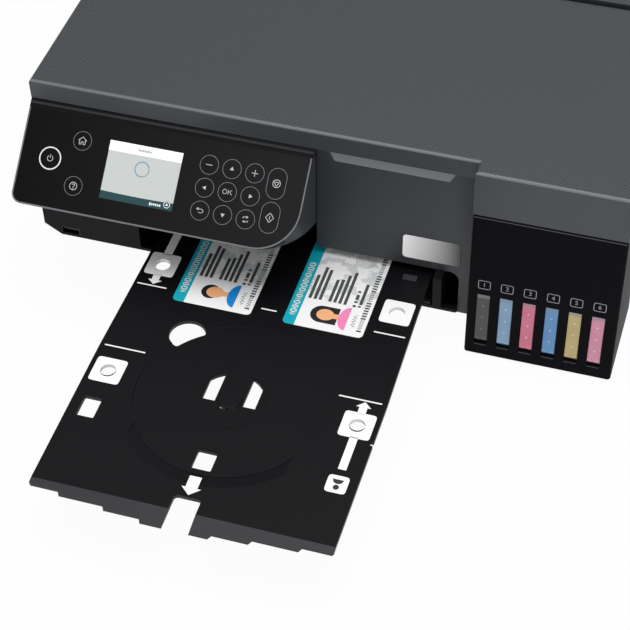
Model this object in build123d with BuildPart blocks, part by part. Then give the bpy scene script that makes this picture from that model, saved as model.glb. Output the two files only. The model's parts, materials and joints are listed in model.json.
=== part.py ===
from build123d import *
import os
from math import cos, radians, sin, tan

os.makedirs("parts", exist_ok=True)

# An ink-tank printer for disc labels, plastic cards and photo paper. Millimetres.
# X runs to the right, Y to the back and Z up. The floor is Z = 0.
# The origin is under the middle of the whole object, disc tray included.

# ---------------------------------------------------------------- driving dimensions
# Body
body_half = 201.0          # half the width of the body
body_rear = 294.4          # Y of the rear wall
body_top = 151.0           # Z of the top of the covers
foot_height = 1.5          # the case stands this far off the floor
wall = 3.0                 # case walls
skin = 2.4                 # cover walls
seam = 0.3                 # gap between covers, and between pieces that move
lean = 5.35                # the front faces lean back by this many degrees
lean_slope = tan(radians(lean))

# Levels of the case
case_split = 60.5          # top of the lower case
cover_seam = body_top - 14.6   # underside of the printer cover's rim
deck_gap = 0.4
deck_top = cover_seam - deck_gap   # top of the middle case
deck_thick = 3.0
block_front = -60.0        # Y of the lower left block's face
block_bottom = 25.0        # Z of the front edge of the undercut
plinth_front = -33.0       # Y where the undercut meets the bottom
block_right = -130.0       # X of the block's right end
side_cut_top = 33.0        # the case's sides slope in below this level
side_cut_mid = 12.0        # width of that slope
side_cut_foot = 18.0       # inset of the sides at the bottom

# Openings and the two trays' common middle line
tray_mid = -19.2           # X of the middle of both trays
opening_right = 93.0       # X of the right end of the front opening
sill_thick = 2.6

# Tank bay
tank_left = 102.3          # X of the tank housing's left side
tank_front = -71.5         # Y of its front at the bottom
tank_back = -3.8           # Y of its rear wall
tank_top = body_top - 32.9     # Z of the housing's top
band_bottom = tank_top + seam  # Z of the printer cover's band over the tanks
band_front = -60.5         # Y of the band at its bottom
band_front_top = -58.0     # Y of the band at its top

# Printer cover
cover_front = -47.5
cover_pivot_y = 124.0
cover_pivot_radius = 7.5   # round rear edge of the cover
cover_pivot_z = body_top - cover_pivot_radius
pin_radius = 1.5
running_gap = 0.06         # radial play of a pin in a hole that turns on it
fixed_gap = 0.02           # the same where the pin is fixed

# Control panel: a flat box hung on the axis (panel_axis_y, panel_axis_z)
panel_axis_y = -45.5
panel_axis_z = deck_top - 4.0
panel_tilt = 49.06         # from upright, as it stands
panel_left = -body_half
panel_right = -5.5
panel_length = 68.9        # from the axis to the lower edge
panel_nose = 4.0           # radius of the round top edge about the axis
wedge_corner = (41.0, 42.3)     # lower rear corner of the panel's cheeks: down, depth
cheek_thick = 2.4          # walls of the panel's hollow back
panel_small_corner = 7.0
panel_large_corner = 29.0
face_thick = 1.8
face_top = 4.8             # where the gloss face starts, below the axis
trim_width = 1.0
hinge_arm_x = (panel_left + 17.0, panel_right - 18.5)
hinge_arm_width = 5.0

# Keys: (name, X, distance below the axis), size and travel
key_pitch_x = 15.5
key_pitch_v = 15.1
key_mid_x = panel_right - 50.7
key_mid_v = 36.0
key_radius = 6.4
power_radius = 7.7
long_key_x = panel_right - 19.7
long_key_height = 20.5
long_key_pitch = 22.2
left_key_x = panel_left + 41.2
left_key_pitch = 30.2
power_x = panel_left + 21.5
key_travel = 0.5
key_flange = 0.8
key_flange_thick = 0.8
key_stem_radius = 2.0
board_depth = 4.0          # from the axis back to the board's front
board_thick = 1.6
switch_height = 0.6
screen_x = (panel_left + panel_right) / 2 - 12.35
screen_v = 35.95
screen_w = 50.7
screen_h = 38.7

# Disc tray
disc_y = -190.0            # Y of the disc's centre
tray_top = 47.7
tray_thick = 2.8
tray_half = 95.8
tray_lip = 91.0            # disc centre to the top of the sloping lip
tray_nose = 104.4          # disc centre to the tip of the lip
tray_back = 178.0          # disc centre to the inner end
tray_step = 2.9            # each step of the lip stands this far back
tray_step_x = (22.0, 46.2, 76.0)
tray_taper = 1.8           # each side draws in by this much behind the disc
disc_radius = 61.5
disc_recess = 0.6
scoop_radius = 70.0
scoop_half = 51.4
scoop_recess = 1.1         # at the disc's edge; it runs out at scoop_radius
hub_ring_radius = 23.3
spindle_radius = 7.3
spindle_height = 1.6
card_width = 53.98
card_length = 85.6
card_thick = 0.76
card_corner = 3.18
card_offset = 37.85        # card centre from the tray's middle line
card_front = 71.0          # disc centre to the cards' near ends
card_play = 0.15

# Output tray
out_half = 95.0
out_front = -60.0
out_back = 58.0
out_thick = 2.8
out_bottom = 27.9
ext_half = 51.0
ext_thick = 1.2
ext_length = 100.0

# Inside
print_line = 30.0          # Y of the print head's middle
head_level = 49.5          # Z of the print head's underside
beam_front = 60.0
beam_bottom = 60.0
beam_top = deck_top - 8.0
sheet = 2.0                # chassis sheet thickness
side_plate_left = -130.0
side_plate_right = 88.0
feed_y = 72.0
feed_radius = 7.0
eject_y = -10.0
eject_radius = 4.2
belt_z = beam_top - 13.0
belt_half = body_half - 21.0   # pulley centres from the middle
pulley_radius = 5.7
belt_thick = 1.0
belt_width = 4.0
belt_front = 54.5

# Rear
rear_cover_front = 132.0
slot_half = 112.0
flap_front = 202.0
flap_axis_y = 271.0
flap_radius = 3.0
flap_half = 115.0
flap_rear_gap = 2.2


def save(builder, name):
    builder.part.label = name
    export_step(builder.part, f"parts/{name}.step")


def box(x0, x1, y0, y1, z0, z1, mode=Mode.ADD):
    """A box between six planes, for use inside a part block."""
    with Locations(((x0 + x1) / 2, (y0 + y1) / 2, (z0 + z1) / 2)):
        Box(x1 - x0, y1 - y0, z1 - z0, mode=mode)


def side_profile(points, x0, x1, mode=Mode.ADD):
    """Extrudes an outline given as (Y, Z) points from X = x0 to X = x1."""
    with BuildSketch(Plane.YZ.offset(x0)) as outline:
        with BuildLine():
            Polyline(*points, close=True)
        make_face()
    extrude(outline.sketch, amount=x1 - x0, mode=mode)


def front_profile(points, y0, y1, mode=Mode.ADD):
    """Extrudes an outline given as (X, Z) points from Y = y0 to Y = y1."""
    with BuildSketch(Plane.XZ.offset(-y0)) as outline:
        with BuildLine():
            Polyline(*points, close=True)
        make_face()
    extrude(outline.sketch, amount=y0 - y1, mode=mode)


# ---------------------------------------------------------------- lower case
# A tub whose front and sides are cut under, so that it seems to float above its plinth.
def side_slope(sign, inset):
    """Outline of what is cut off a lower side, as (X, Z) points."""
    edge = body_half + 1
    return [
        (sign * edge, side_cut_top + inset),
        (sign * (body_half - inset), side_cut_top + inset),
        (sign * (body_half - side_cut_mid - inset), block_bottom + inset),
        (sign * (body_half - side_cut_foot - inset), foot_height + inset),
        (sign * (body_half - side_cut_foot - inset), foot_height - 1),
        (sign * edge, foot_height - 1),
    ]


with BuildPart() as case_inside:
    side_profile(
        [
            (block_front + wall, case_split + 1),
            (block_front + wall, block_bottom + wall),
            (plinth_front + wall, foot_height + wall),
            (body_rear - wall, foot_height + wall),
            (body_rear - wall, case_split + 1),
        ],
        wall - body_half,
        body_half - wall,
    )
    for side in (-1, 1):
        front_profile(
            side_slope(side, wall), block_front, body_rear, mode=Mode.SUBTRACT
        )

bay_left = tank_left - seam
bay_back = tank_back + seam
ledge_top = tray_top - tray_thick - seam
ledge_thick = 3.3
ledge_reach = 13.0
ledge_front = -40.0
ledge_rear = 262.0
web = 3.0
rib_height = out_bottom - seam
web_left = tray_mid - out_half - 1.5 - web
web_right = tray_mid + out_half + 1.5
post_width = 5.8
post_top = tray_top + 5.5
leg_back = -45.5
roof = 2.5
recess_wall = -4.0         # Y of the wall behind the control panel
usb_x = 19.0 - body_half
usb_z = block_bottom + 4.4
usb_width = 14.0
usb_height = 6.6
supply_left = 25.0 - body_half
supply_right = block_right - 2.0
inlet_x = (supply_left + supply_right) / 2 - 4.0
inlet_z = 18.0
inlet_width = 24.0
inlet_height = 16.0
device_port_x = body_half - 45.0
device_port_z = 20.5
device_port_size = 13.0
screw_head_radius = 3.2
screw_shank_radius = 1.5
screw_head = 1.6
rear_screws_low = ((25.0 - body_half, 44.0), (0.0, 16.0), (body_half - 25.0, 44.0))
rear_screws_high = (
    (11.0 - body_half, deck_top - 10.0), (body_half - 81.0, deck_top - 10.0),
    (body_half - 11.0, case_split + 9.5),
)

with BuildPart() as lower_case:
    side_profile(
        [
            (block_front, case_split),
            (block_front, block_bottom),
            (plinth_front, foot_height),
            (body_rear, foot_height),
            (body_rear, case_split),
        ],
        -body_half,
        body_half,
    )
    for side in (-1, 1):
        front_profile(
            side_slope(side, 0), block_front, body_rear + 1, mode=Mode.SUBTRACT
        )
    add(case_inside.part, mode=Mode.SUBTRACT)
    # the corner that the tanks fill, with the wall beside and behind them
    box(bay_left, body_half + 1, block_front - 1, bay_back, 0, case_split + 1,
        mode=Mode.SUBTRACT)
    box(opening_right, bay_left, block_front - 1, leg_back, 0, case_split + 1,
        mode=Mode.SUBTRACT)
    side_profile(
        [
            (leg_back, case_split),
            (leg_back, 14.0),
            (plinth_front + wall, foot_height + wall),
            (bay_back + wall, foot_height + wall),
            (bay_back + wall, case_split),
        ],
        bay_left - wall,
        bay_left,
    )
    box(opening_right, bay_left, leg_back, leg_back + wall, 14.0, case_split)
    side_profile(
        [
            (bay_back, case_split),
            (bay_back, foot_height),
            (bay_back + wall, foot_height),
            (bay_back + wall, case_split),
        ],
        bay_left - wall,
        body_half - side_cut_foot,
    )
    box(body_half - side_cut_foot, body_half, bay_back, bay_back + wall,
        side_cut_top, case_split)
    # front opening above the sill
    box(block_right, opening_right, block_front - 1, block_front + wall + 1,
        block_bottom + sill_thick, case_split + 1, mode=Mode.SUBTRACT)
    # the block's roof and right end
    box(wall - body_half, block_right, block_front + wall, recess_wall + wall,
        case_split - roof, case_split)
    box(block_right - wall, block_right, block_front + wall, eject_y - 9,
        block_bottom, case_split)
    # webs that carry the disc tray's ledges, and ribs under the output tray
    floor = foot_height + wall
    for x0, ledge_x in ((web_left, web_left), (web_right, web_right + web - ledge_reach)):
        box(x0, x0 + web, ledge_front, ledge_rear, floor - 1, ledge_top)
        box(ledge_x, ledge_x + ledge_reach, ledge_front, ledge_rear,
            ledge_top - ledge_thick, ledge_top)
    for rib_x in (-0.8 * out_half, 0.8 * out_half):
        box(tray_mid + rib_x - 1, tray_mid + rib_x + 1, plinth_front + 6, out_back,
            floor - 1, rib_height)
    # guide post at the right of the disc tray's mouth
    side_profile(
        [
            (block_front, block_bottom + sill_thick - 1), (block_front, post_top),
            (ledge_front, post_top), (ledge_front, block_bottom - 14),
            (block_front + wall, block_bottom + sill_thick - 1),
        ],
        web_right,
        web_right + post_width,
    )
    # the rollers pass through gaps in the ledges and webs
    for y, radius in ((feed_y, feed_radius), (eject_y, eject_radius)):
        box(web_left - 1, web_right + web + 1, y - radius - 1, y + radius + 1,
            out_bottom + out_thick + 2, ledge_top + 1, mode=Mode.SUBTRACT)
    # the platen's ends pass through the webs
    box(web_left - 1, web_right + web + 1, print_line - 8 - seam, print_line + 8 + seam,
        34 - seam, 38 + seam, mode=Mode.SUBTRACT)
    # bosses for the main board
    with Locations(*[(x, y, floor + 3.5) for x in (tank_left + 9.7, body_half - 29)
                     for y in (74, body_rear - 24.4)]):
        Cylinder(4, 9)
    # openings for the ports
    box(usb_x - usb_width / 2, usb_x + usb_width / 2, block_front - 1,
        block_front + 15.3, usb_z - usb_height / 2, usb_z + usb_height / 2,
        mode=Mode.SUBTRACT)
    box(inlet_x - inlet_width / 2, inlet_x + inlet_width / 2, body_rear - wall - 1,
        body_rear + 1, inlet_z - inlet_height / 2, inlet_z + inlet_height / 2,
        mode=Mode.SUBTRACT)
    box(device_port_x - device_port_size / 2, device_port_x + device_port_size / 2,
        body_rear - wall - 1, body_rear + 1, device_port_z - device_port_size / 2,
        device_port_z + device_port_size / 2, mode=Mode.SUBTRACT)
    with Locations(*[Location((x, body_rear, z), (-90, 0, 0)) for x, z in rear_screws_low]):
        CounterBoreHole(screw_shank_radius + fixed_gap, screw_head_radius + 0.2,
                        screw_head, wall + 1)
    # round the rear corners
    fillet(
        lower_case.edges().filter_by(Axis.Z).filter_by(
            lambda e: e.center().Y > body_rear - 0.5 and abs(e.center().X) > 180
        ),
        radius=2.5,
    )
save(lower_case, "lower_case")

# ---------------------------------------------------------------- rubber feet
foot_radius = 9.0
with BuildPart() as rubber_feet:
    foot_x = body_half - 36
    foot_y = body_rear - 18.4
    with Locations((-foot_x, -16), (-foot_x, foot_y), (foot_x, foot_y), (foot_x - 13, -46)):
        with Locations((0, 0, foot_height / 2)):
            Cylinder(foot_radius, foot_height)
save(rubber_feet, "rubber_feet")

# ---------------------------------------------------------------- USB host port
# A metal shell with its tongue, held in the front wall of the left block.
port_wall = 0.5
with BuildPart() as usb_host_port:
    box(usb_x - usb_width / 2 + 0.2, usb_x + usb_width / 2 - 0.2, block_front + 0.4,
        block_front + 15, usb_z - usb_height / 2 + 0.2, usb_z + usb_height / 2 - 0.2)
    box(usb_x - usb_width / 2 + 0.2 + port_wall, usb_x + usb_width / 2 - 0.2 - port_wall,
        block_front, block_front + 13.5, usb_z - usb_height / 2 + 0.2 + port_wall,
        usb_z + usb_height / 2 - 0.2 - port_wall, mode=Mode.SUBTRACT)
    box(usb_x - 5.5, usb_x + 5.5, block_front + 2, block_front + 14, usb_z + 0.2, usb_z + 2)
save(usb_host_port, "usb_host_port")

# ---------------------------------------------------------------- middle case
recess_lip = -36.0         # the deck reaches forward over the recess to this Y
cheek_x = -4.9             # X where the panel's recess ends
front_wall = -38.4         # Y of the wall behind the front cover
ear_width = 4.0
ear_inner = body_half - skin - seam - ear_width

with BuildPart() as middle_case:
    with BuildSketch(Plane.XY.offset(case_split)):
        with BuildLine():
            Polyline(
                (-body_half, recess_wall), (cheek_x, recess_wall), (cheek_x, front_wall),
                (bay_left, front_wall), (bay_left, bay_back), (body_half, bay_back),
                (body_half, body_rear), (-body_half, body_rear), close=True,
            )
        make_face()
    extrude(amount=deck_top - case_split)
    fillet(
        middle_case.edges().filter_by(Axis.Z).filter_by(
            lambda e: e.center().Y > body_rear - 0.5
        ),
        radius=2.5,
    )
    with BuildSketch(Plane.XY.offset(case_split - 1)):
        with BuildLine():
            Polyline(
                (wall - body_half, recess_wall + wall), (cheek_x + wall, recess_wall + wall),
                (cheek_x + wall, front_wall + wall), (bay_left - wall, front_wall + wall),
                (bay_left - wall, bay_back + wall), (body_half - wall, bay_back + wall),
                (body_half - wall, body_rear - wall), (wall - body_half, body_rear - wall),
                close=True,
            )
        make_face()
    extrude(amount=deck_top - deck_thick - case_split + 1, mode=Mode.SUBTRACT)
    # access to the carriage, and the way down from the paper slot
    box(11 - body_half, body_half - 11, 4, 130.5, deck_top - deck_thick - 1, deck_top + 1,
        mode=Mode.SUBTRACT)
    box(tray_mid - slot_half, tray_mid + slot_half, 196, 270, deck_top - deck_thick - 1,
        deck_top + 1, mode=Mode.SUBTRACT)
    # opening for the rear cover
    box(-112, 72, body_rear - wall - 1, body_rear + 1, case_split + 5.5, deck_top - 6,
        mode=Mode.SUBTRACT)
    # the deck reaches forward over the recess behind the control panel
    box(-body_half, cheek_x, recess_lip, recess_wall + 1, deck_top - deck_thick, deck_top)
    # ears for the printer cover's pins
    for side in (-1, 1):
        x0 = min(side * ear_inner, side * (ear_inner + ear_width))
        box(x0, x0 + ear_width, cover_pivot_y - 5, cover_pivot_y + 2, deck_top - 1,
            cover_pivot_z)
        with Locations(Location((x0 + ear_width / 2, cover_pivot_y, cover_pivot_z), (0, 90, 0))):
            Cylinder(4.6, ear_width)
            Cylinder(pin_radius + fixed_gap, ear_width + 1, mode=Mode.SUBTRACT)
    # arms with trunnions that carry the control panel
    for arm_x in hinge_arm_x:
        side_profile(
            [
                (panel_axis_y, panel_axis_z + 3.2),
                (recess_wall + 1, panel_axis_z + 3.2),
                (recess_wall + 1, panel_axis_z - 12),
                (panel_axis_y, panel_axis_z - 3.2),
            ],
            arm_x - hinge_arm_width / 2,
            arm_x + hinge_arm_width / 2,
        )
        with Locations(Location((arm_x, panel_axis_y, panel_axis_z), (0, 90, 0))):
            Cylinder(3.2, hinge_arm_width)
            Cylinder(pin_radius, hinge_arm_width + 8)
    with Locations(*[Location((x, body_rear, z), (-90, 0, 0)) for x, z in rear_screws_high]):
        CounterBoreHole(screw_shank_radius + fixed_gap, screw_head_radius + 0.2,
                        screw_head, wall + 1)
save(middle_case, "middle_case")

# ---------------------------------------------------------------- front cover
# A leaning plate with a leg beside the opening and a finger grip along its top.
front_top = cover_seam - seam
front_face_y = -43.5       # Y of the face at its top
front_thick = 5.0
front_bottom = 53.5
front_right = bay_left - 0.4
leg_bottom = 13.0
leg_corner = 7.0
grip_left = 7.0            # ends of the grip's lower edge
grip_right = 83.0
grip_height = 9.7
grip_flare = 7.3           # each end runs out by this much at the top
front_plane = Plane(
    origin=(0, front_face_y, front_top),
    x_dir=(1, 0, 0),
    z_dir=(0, -cos(radians(lean)), sin(radians(lean))),
)


def along_lean(z):
    """Distance along the leaning face from its top down to level z."""
    return (z - front_top) / cos(radians(lean))


badge_right = opening_right + 0.3
badge_left = badge_right - 39.3
badge_bottom = 59.0
badge_top = 77.6
badge_thick = 0.8
badge_sunk = 0.5

with BuildPart() as grip:
    grip_plane = Plane(
        origin=front_plane.from_local_coords((grip_left - grip_flare - 2, 0, 0)),
        x_dir=front_plane.y_dir,
        z_dir=(1, 0, 0),
    )
    with BuildSketch(grip_plane):
        with BuildLine():
            Polyline((-grip_height, -1), (-grip_height, 0), (0.4, front_thick - 0.8),
                     (1, front_thick - 0.8), (1, -1), close=True)
        make_face()
    extrude(amount=grip_right - grip_left + 2 * grip_flare + 4)
    with BuildSketch(front_plane.offset(2)):
        with BuildLine():
            Polyline(
                (grip_left, -grip_height), (grip_right, -grip_height),
                (grip_right + grip_flare, 0), (grip_right + grip_flare, 2),
                (grip_left - grip_flare, 2), (grip_left - grip_flare, 0), close=True,
            )
        make_face()
    extrude(amount=-front_thick - 4, mode=Mode.INTERSECT)

with BuildPart() as front_cover:
    with BuildSketch(front_plane) as cover_outline:
        with BuildLine():
            Polyline(
                (cheek_x, 0), (front_right, 0), (front_right, along_lean(leg_bottom)),
                (opening_right + 4.2, along_lean(leg_bottom)),
                (opening_right, along_lean(leg_bottom + 8)),
                (opening_right, along_lean(front_bottom)),
                (cheek_x, along_lean(front_bottom)), close=True,
            )
        make_face()
        inner_corner = cover_outline.vertices().sort_by_distance(
            Vector(opening_right, along_lean(front_bottom), 0)
        )[0]
        fillet(inner_corner, radius=leg_corner)
    extrude(amount=-front_thick)
    # the leg ends in the line of the undercut
    side_profile(
        [(block_front, block_bottom), (plinth_front, foot_height),
         (block_front, foot_height)],
        opening_right - 1,
        front_right + 1,
        mode=Mode.SUBTRACT,
    )
    # finger grip: the upper edge slopes back between slanting ends
    add(grip.part, mode=Mode.SUBTRACT)
    # seat of the badge plate
    with BuildSketch(front_plane):
        with Locations(((badge_left + badge_right) / 2,
                        along_lean((badge_bottom + badge_top) / 2))):
            RectangleRounded(badge_right - badge_left + 0.2,
                             badge_top - badge_bottom + 0.2, 2.6)
    extrude(amount=-badge_sunk, mode=Mode.SUBTRACT)
save(front_cover, "front_cover")

with BuildPart() as badge_plate:
    with BuildSketch(front_plane.offset(-badge_sunk)):
        with Locations(((badge_left + badge_right) / 2,
                        along_lean((badge_bottom + badge_top) / 2))):
            RectangleRounded(badge_right - badge_left, badge_top - badge_bottom, 2.5)
    extrude(amount=badge_thick)
    fillet(badge_plate.faces().sort_by(Axis.Y)[0].edges(), radius=0.25)
save(badge_plate, "badge_plate")

# ---------------------------------------------------------------- tank housing and tanks
# A leaning box with six windows, through which the front of each tank shows.
tank_names = ("bk", "lc", "m", "c", "y", "lm")
window_pitch = (body_half - tank_left - 8.1) / len(tank_names)
window_first = tank_left + 10.7    # X of the first window's middle
window_width = 8.9
window_bottom = 12.3
window_top = 54.1
housing_wall = 2.5


def tank_face(z):
    """Y of the tank housing's leaning front at level z."""
    return tank_front + (z - foot_height) * lean_slope


window_x = [window_first + i * window_pitch for i in range(len(tank_names))]
with BuildPart() as tank_housing:
    side_profile(
        [
            (tank_face(foot_height), foot_height), (tank_face(tank_top), tank_top),
            (tank_back, tank_top), (tank_back, foot_height),
        ],
        tank_left,
        body_half,
    )
    fillet(
        tank_housing.edges().filter_by(
            lambda e: e.center().Y < tank_face(tank_top) + 3
            and abs(e.center().Z - tank_top / 2) < 5
        ),
        radius=2.0,
    )
    fillet(
        tank_housing.edges().filter_by(Axis.X).sort_by(Axis.Z)[:2].sort_by(Axis.Y)[:1],
        radius=2.0,
    )
    side_profile(
        [
            (tank_face(foot_height + housing_wall) + housing_wall, foot_height + housing_wall),
            (tank_face(tank_top + 1) + housing_wall, tank_top + 1),
            (tank_back - housing_wall, tank_top + 1),
            (tank_back - housing_wall, foot_height + housing_wall),
        ],
        tank_left + housing_wall,
        body_half - housing_wall,
        mode=Mode.SUBTRACT,
    )
    for x in window_x:
        box(x - window_width / 2, x + window_width / 2, tank_front - 5,
            tank_face(tank_top) + housing_wall + 1, window_bottom, window_top,
            mode=Mode.SUBTRACT)
save(tank_housing, "tank_housing")

tank_width = window_pitch - 1.3
tank_body_top = tank_top - 14.1
neck_radius = 4.0
neck_height = 8.0
window_ledge = 2.9         # the slot goes on this far below the tank's front
cap_radius = 5.4
cap_height = 9.0
tank_depth_front = housing_wall + 0.4
for name, x in zip(tank_names, window_x):
    with BuildPart() as ink_tank:
        side_profile(
            [
                (tank_face(foot_height + housing_wall) + tank_depth_front,
                 foot_height + housing_wall),
                (tank_face(tank_body_top) + tank_depth_front, tank_body_top),
                (tank_back - housing_wall - 1, tank_body_top),
                (tank_back - housing_wall - 1, foot_height + housing_wall),
            ],
            x - tank_width / 2,
            x + tank_width / 2,
        )
        # sight glass that stands in the window
        side_profile(
            [
                (tank_face(window_bottom + window_ledge) + 0.5, window_bottom + window_ledge),
                (tank_face(window_top - 0.3) + 0.5, window_top - 0.3),
                (tank_face(window_top - 0.3) + 5, window_top - 0.3),
                (tank_face(window_bottom + window_ledge) + 5, window_bottom + window_ledge),
            ],
            x - window_width / 2 + 0.3,
            x + window_width / 2 - 0.3,
        )
        with Locations((x, -42, tank_body_top + neck_height / 2)):
            Cylinder(neck_radius, neck_height)
    save(ink_tank, f"ink_tank_{name}")

with BuildPart() as tank_caps:
    with Locations(*[(x, -42, tank_body_top + neck_height + cap_height / 2) for x in window_x]):
        Cylinder(cap_radius, cap_height)
    for x in window_x:
        box(x - 2, x + 2, -42, -26, tank_body_top + neck_height + cap_height - 2,
            tank_body_top + neck_height + cap_height)
        box(x - 2, x + 2, -28, -26, tank_body_top,
            tank_body_top + neck_height + cap_height)
save(tank_caps, "tank_caps")

# ---------------------------------------------------------------- printer cover
# One moulding over the whole printer. Its right end stands forward and hangs lower.
band_left = tank_left - 0.3
edge_round = 2.2
with BuildPart() as printer_cover:
    box(-body_half, body_half, cover_front, cover_pivot_y, cover_seam, body_top)
    side_profile(
        [
            (band_front_top, body_top), (band_front, band_bottom),
            (tank_back, band_bottom), (tank_back, body_top),
        ],
        band_left,
        body_half,
    )
    with Locations(Location((0, cover_pivot_y, cover_pivot_z), (0, 90, 0))):
        Cylinder(cover_pivot_radius, 2 * body_half)
    box(-body_half - 1, body_half + 1, cover_pivot_y - 10, cover_pivot_y + 10,
        cover_seam - 10, cover_seam, mode=Mode.SUBTRACT)
    top_edges = printer_cover.edges().filter_by(
        lambda e: e.center().Z > body_top - 0.01 and abs(e.center().Y - cover_pivot_y) > 1
    )
    fillet(top_edges, radius=edge_round)
    # hollow
    box(skin - body_half, body_half - skin, cover_front + skin, cover_pivot_y,
        cover_seam - 1, body_top - skin, mode=Mode.SUBTRACT)
    side_profile(
        [
            (band_front_top + skin, body_top - skin),
            (band_front + skin, band_bottom - 1),
            (tank_back + 1, band_bottom - 1), (tank_back + 1, body_top - skin),
        ],
        band_left + skin,
        body_half - skin,
        mode=Mode.SUBTRACT,
    )
    with Locations(Location((0, cover_pivot_y, cover_pivot_z), (0, 90, 0))):
        Cylinder(cover_pivot_radius - skin, 2 * (body_half - skin), mode=Mode.SUBTRACT)
    box(skin - body_half, body_half - skin, cover_pivot_y - 2, cover_pivot_y + 10,
        cover_seam - 1, cover_pivot_z, mode=Mode.SUBTRACT)
    with Locations(Location((0, cover_pivot_y, cover_pivot_z), (0, 90, 0))):
        Cylinder(pin_radius + running_gap, 2 * body_half + 2, mode=Mode.SUBTRACT)
    # stiffening ribs under the lid
    for x in (-150, -75, 0, 75, 150):
        box(x - 1, x + 1, cover_front + skin, cover_pivot_y - 12, body_top - skin - 4,
            body_top - skin)
save(printer_cover, "printer_cover")

with BuildPart() as cover_hinge_pins:
    for side in (-1, 1):
        with Locations(Location((side * (body_half - 4.2), cover_pivot_y, cover_pivot_z),
                                (0, 90, 0))):
            Cylinder(pin_radius, 8)
save(cover_hinge_pins, "cover_hinge_pins")

# ---------------------------------------------------------------- control panel
# Local axes of the panel: x is X, the second runs down the panel from the hinge axis,
# and depths are measured from the axis towards the back of the panel.
tilt = radians(panel_tilt)
panel_down = Vector(0, -sin(tilt), -cos(tilt))
panel_back = Vector(0, cos(tilt), -sin(tilt))
panel_axis = Vector(0, panel_axis_y, panel_axis_z)
panel_mid = (panel_left + panel_right) / 2


def panel_plane(depth):
    """The plane parallel to the face at a depth, seen from the front: x right, y up."""
    return Plane(
        origin=panel_axis + panel_back * depth, x_dir=(1, 0, 0), z_dir=-panel_back
    )


def panel_section(points, x0, x1, mode=Mode.ADD):
    """Extrudes an outline of (distance down, depth) points along X."""
    plane = Plane(
        origin=panel_axis + Vector(x0, 0, 0), x_dir=panel_down, z_dir=(1, 0, 0)
    )
    with BuildSketch(plane) as outline:
        with BuildLine():
            Polyline(*points, close=True)
        make_face()
    extrude(outline.sketch, amount=x1 - x0, mode=mode)


def panel_outline(inset, top):
    """The panel's outline in the current sketch, with its large lower right corner."""
    left = panel_left + inset
    right = panel_right - inset
    low = panel_length - inset
    small = panel_small_corner - inset
    large = panel_large_corner - inset
    with BuildLine() as rim:
        Line((left, -top), (right, -top))
        Line((right, -top), (right, large - low))
        RadiusArc((right, large - low), (right - large, -low), large)
        Line((right - large, -low), (left + small, -low))
        RadiusArc((left + small, -low), (left, small - low), small)
        Line((left, small - low), (left, -top))
    make_face(rim.edges())


face_front = -panel_nose
face_back = face_front + face_thick
plate_back = board_depth + board_thick + cheek_thick
cavity_floor = board_depth + board_thick

# the wedge behind the plate is hollow and open at its back
with BuildPart() as panel_hollow:
    with BuildSketch(panel_plane(plate_back)):
        panel_outline(cheek_thick, -panel_nose)
    extrude(amount=-(wedge_corner[1] + 8))
    slant = Vector(wedge_corner[0] - panel_length, wedge_corner[1] + 1, 0).normalized()
    low_corner = panel_length - cheek_thick / slant.Y + (plate_back + 1) * slant.X / slant.Y
    far_corner = low_corner + (wedge_corner[1] + 7.7 - plate_back) * slant.X / slant.Y
    panel_section(
        [(face_top + 1.2, plate_back), (low_corner, plate_back),
         (far_corner, wedge_corner[1] + 7.7), (face_top + 1.2, wedge_corner[1] + 7.7)],
        panel_left,
        panel_right,
        mode=Mode.INTERSECT,
    )

with BuildPart() as control_panel_housing:
    with BuildSketch(panel_plane(face_front)):
        panel_outline(0, -panel_nose)
    extrude(amount=-(wedge_corner[1] - face_front))
    # side profile: round nose at the axis, back and underside that meet in a corner
    profile_plane = Plane(origin=panel_axis + Vector(panel_left - 1, 0, 0),
                          x_dir=panel_down, z_dir=(1, 0, 0))
    with BuildSketch(profile_plane):
        with BuildLine():
            Line((face_top, face_front), (0, face_front))
            RadiusArc((0, face_front), (-panel_nose, 0), panel_nose)
            Polyline(
                (-panel_nose, 0), (-3.5, 6), (1, 12), wedge_corner,
                (panel_length, -1), (panel_length, face_back), (face_top, face_back),
                (face_top, face_front),
            )
        make_face()
    extrude(amount=panel_right - panel_left + 2, mode=Mode.INTERSECT)
    add(panel_hollow.part, mode=Mode.SUBTRACT)
    # room for the board and the screen
    panel_section(
        [
            (face_top + 3, face_back - 1), (panel_length - 6, face_back - 1),
            (panel_length - 10.5, cavity_floor), (face_top + 3, cavity_floor),
        ],
        panel_left + 5,
        panel_right - 8,
        mode=Mode.SUBTRACT,
    )
    # pockets for the arms, and the bores that turn on the trunnions
    pocket = hinge_arm_width / 2 + seam
    for arm_x in hinge_arm_x:
        panel_section(
            [(-6, -3.5), (face_top - 1, -3.5), (face_top - 1, -2), (24, 2),
             (24, 16), (-6, 16)],
            arm_x - pocket,
            arm_x + pocket,
            mode=Mode.SUBTRACT,
        )
        with Locations(Location((arm_x, panel_axis_y, panel_axis_z), (0, 90, 0))):
            Cylinder(pin_radius + running_gap, hinge_arm_width + 8.6, mode=Mode.SUBTRACT)
save(control_panel_housing, "control_panel_housing")

with BuildPart() as control_panel_trim:
    with BuildSketch(panel_plane(face_front)):
        panel_outline(0, face_top)
    extrude(amount=-face_thick)
    with BuildSketch(panel_plane(face_front - 1)):
        panel_outline(trim_width, face_top - 1)
    extrude(amount=-face_thick - 2, mode=Mode.SUBTRACT)
save(control_panel_trim, "control_panel_trim")

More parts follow.
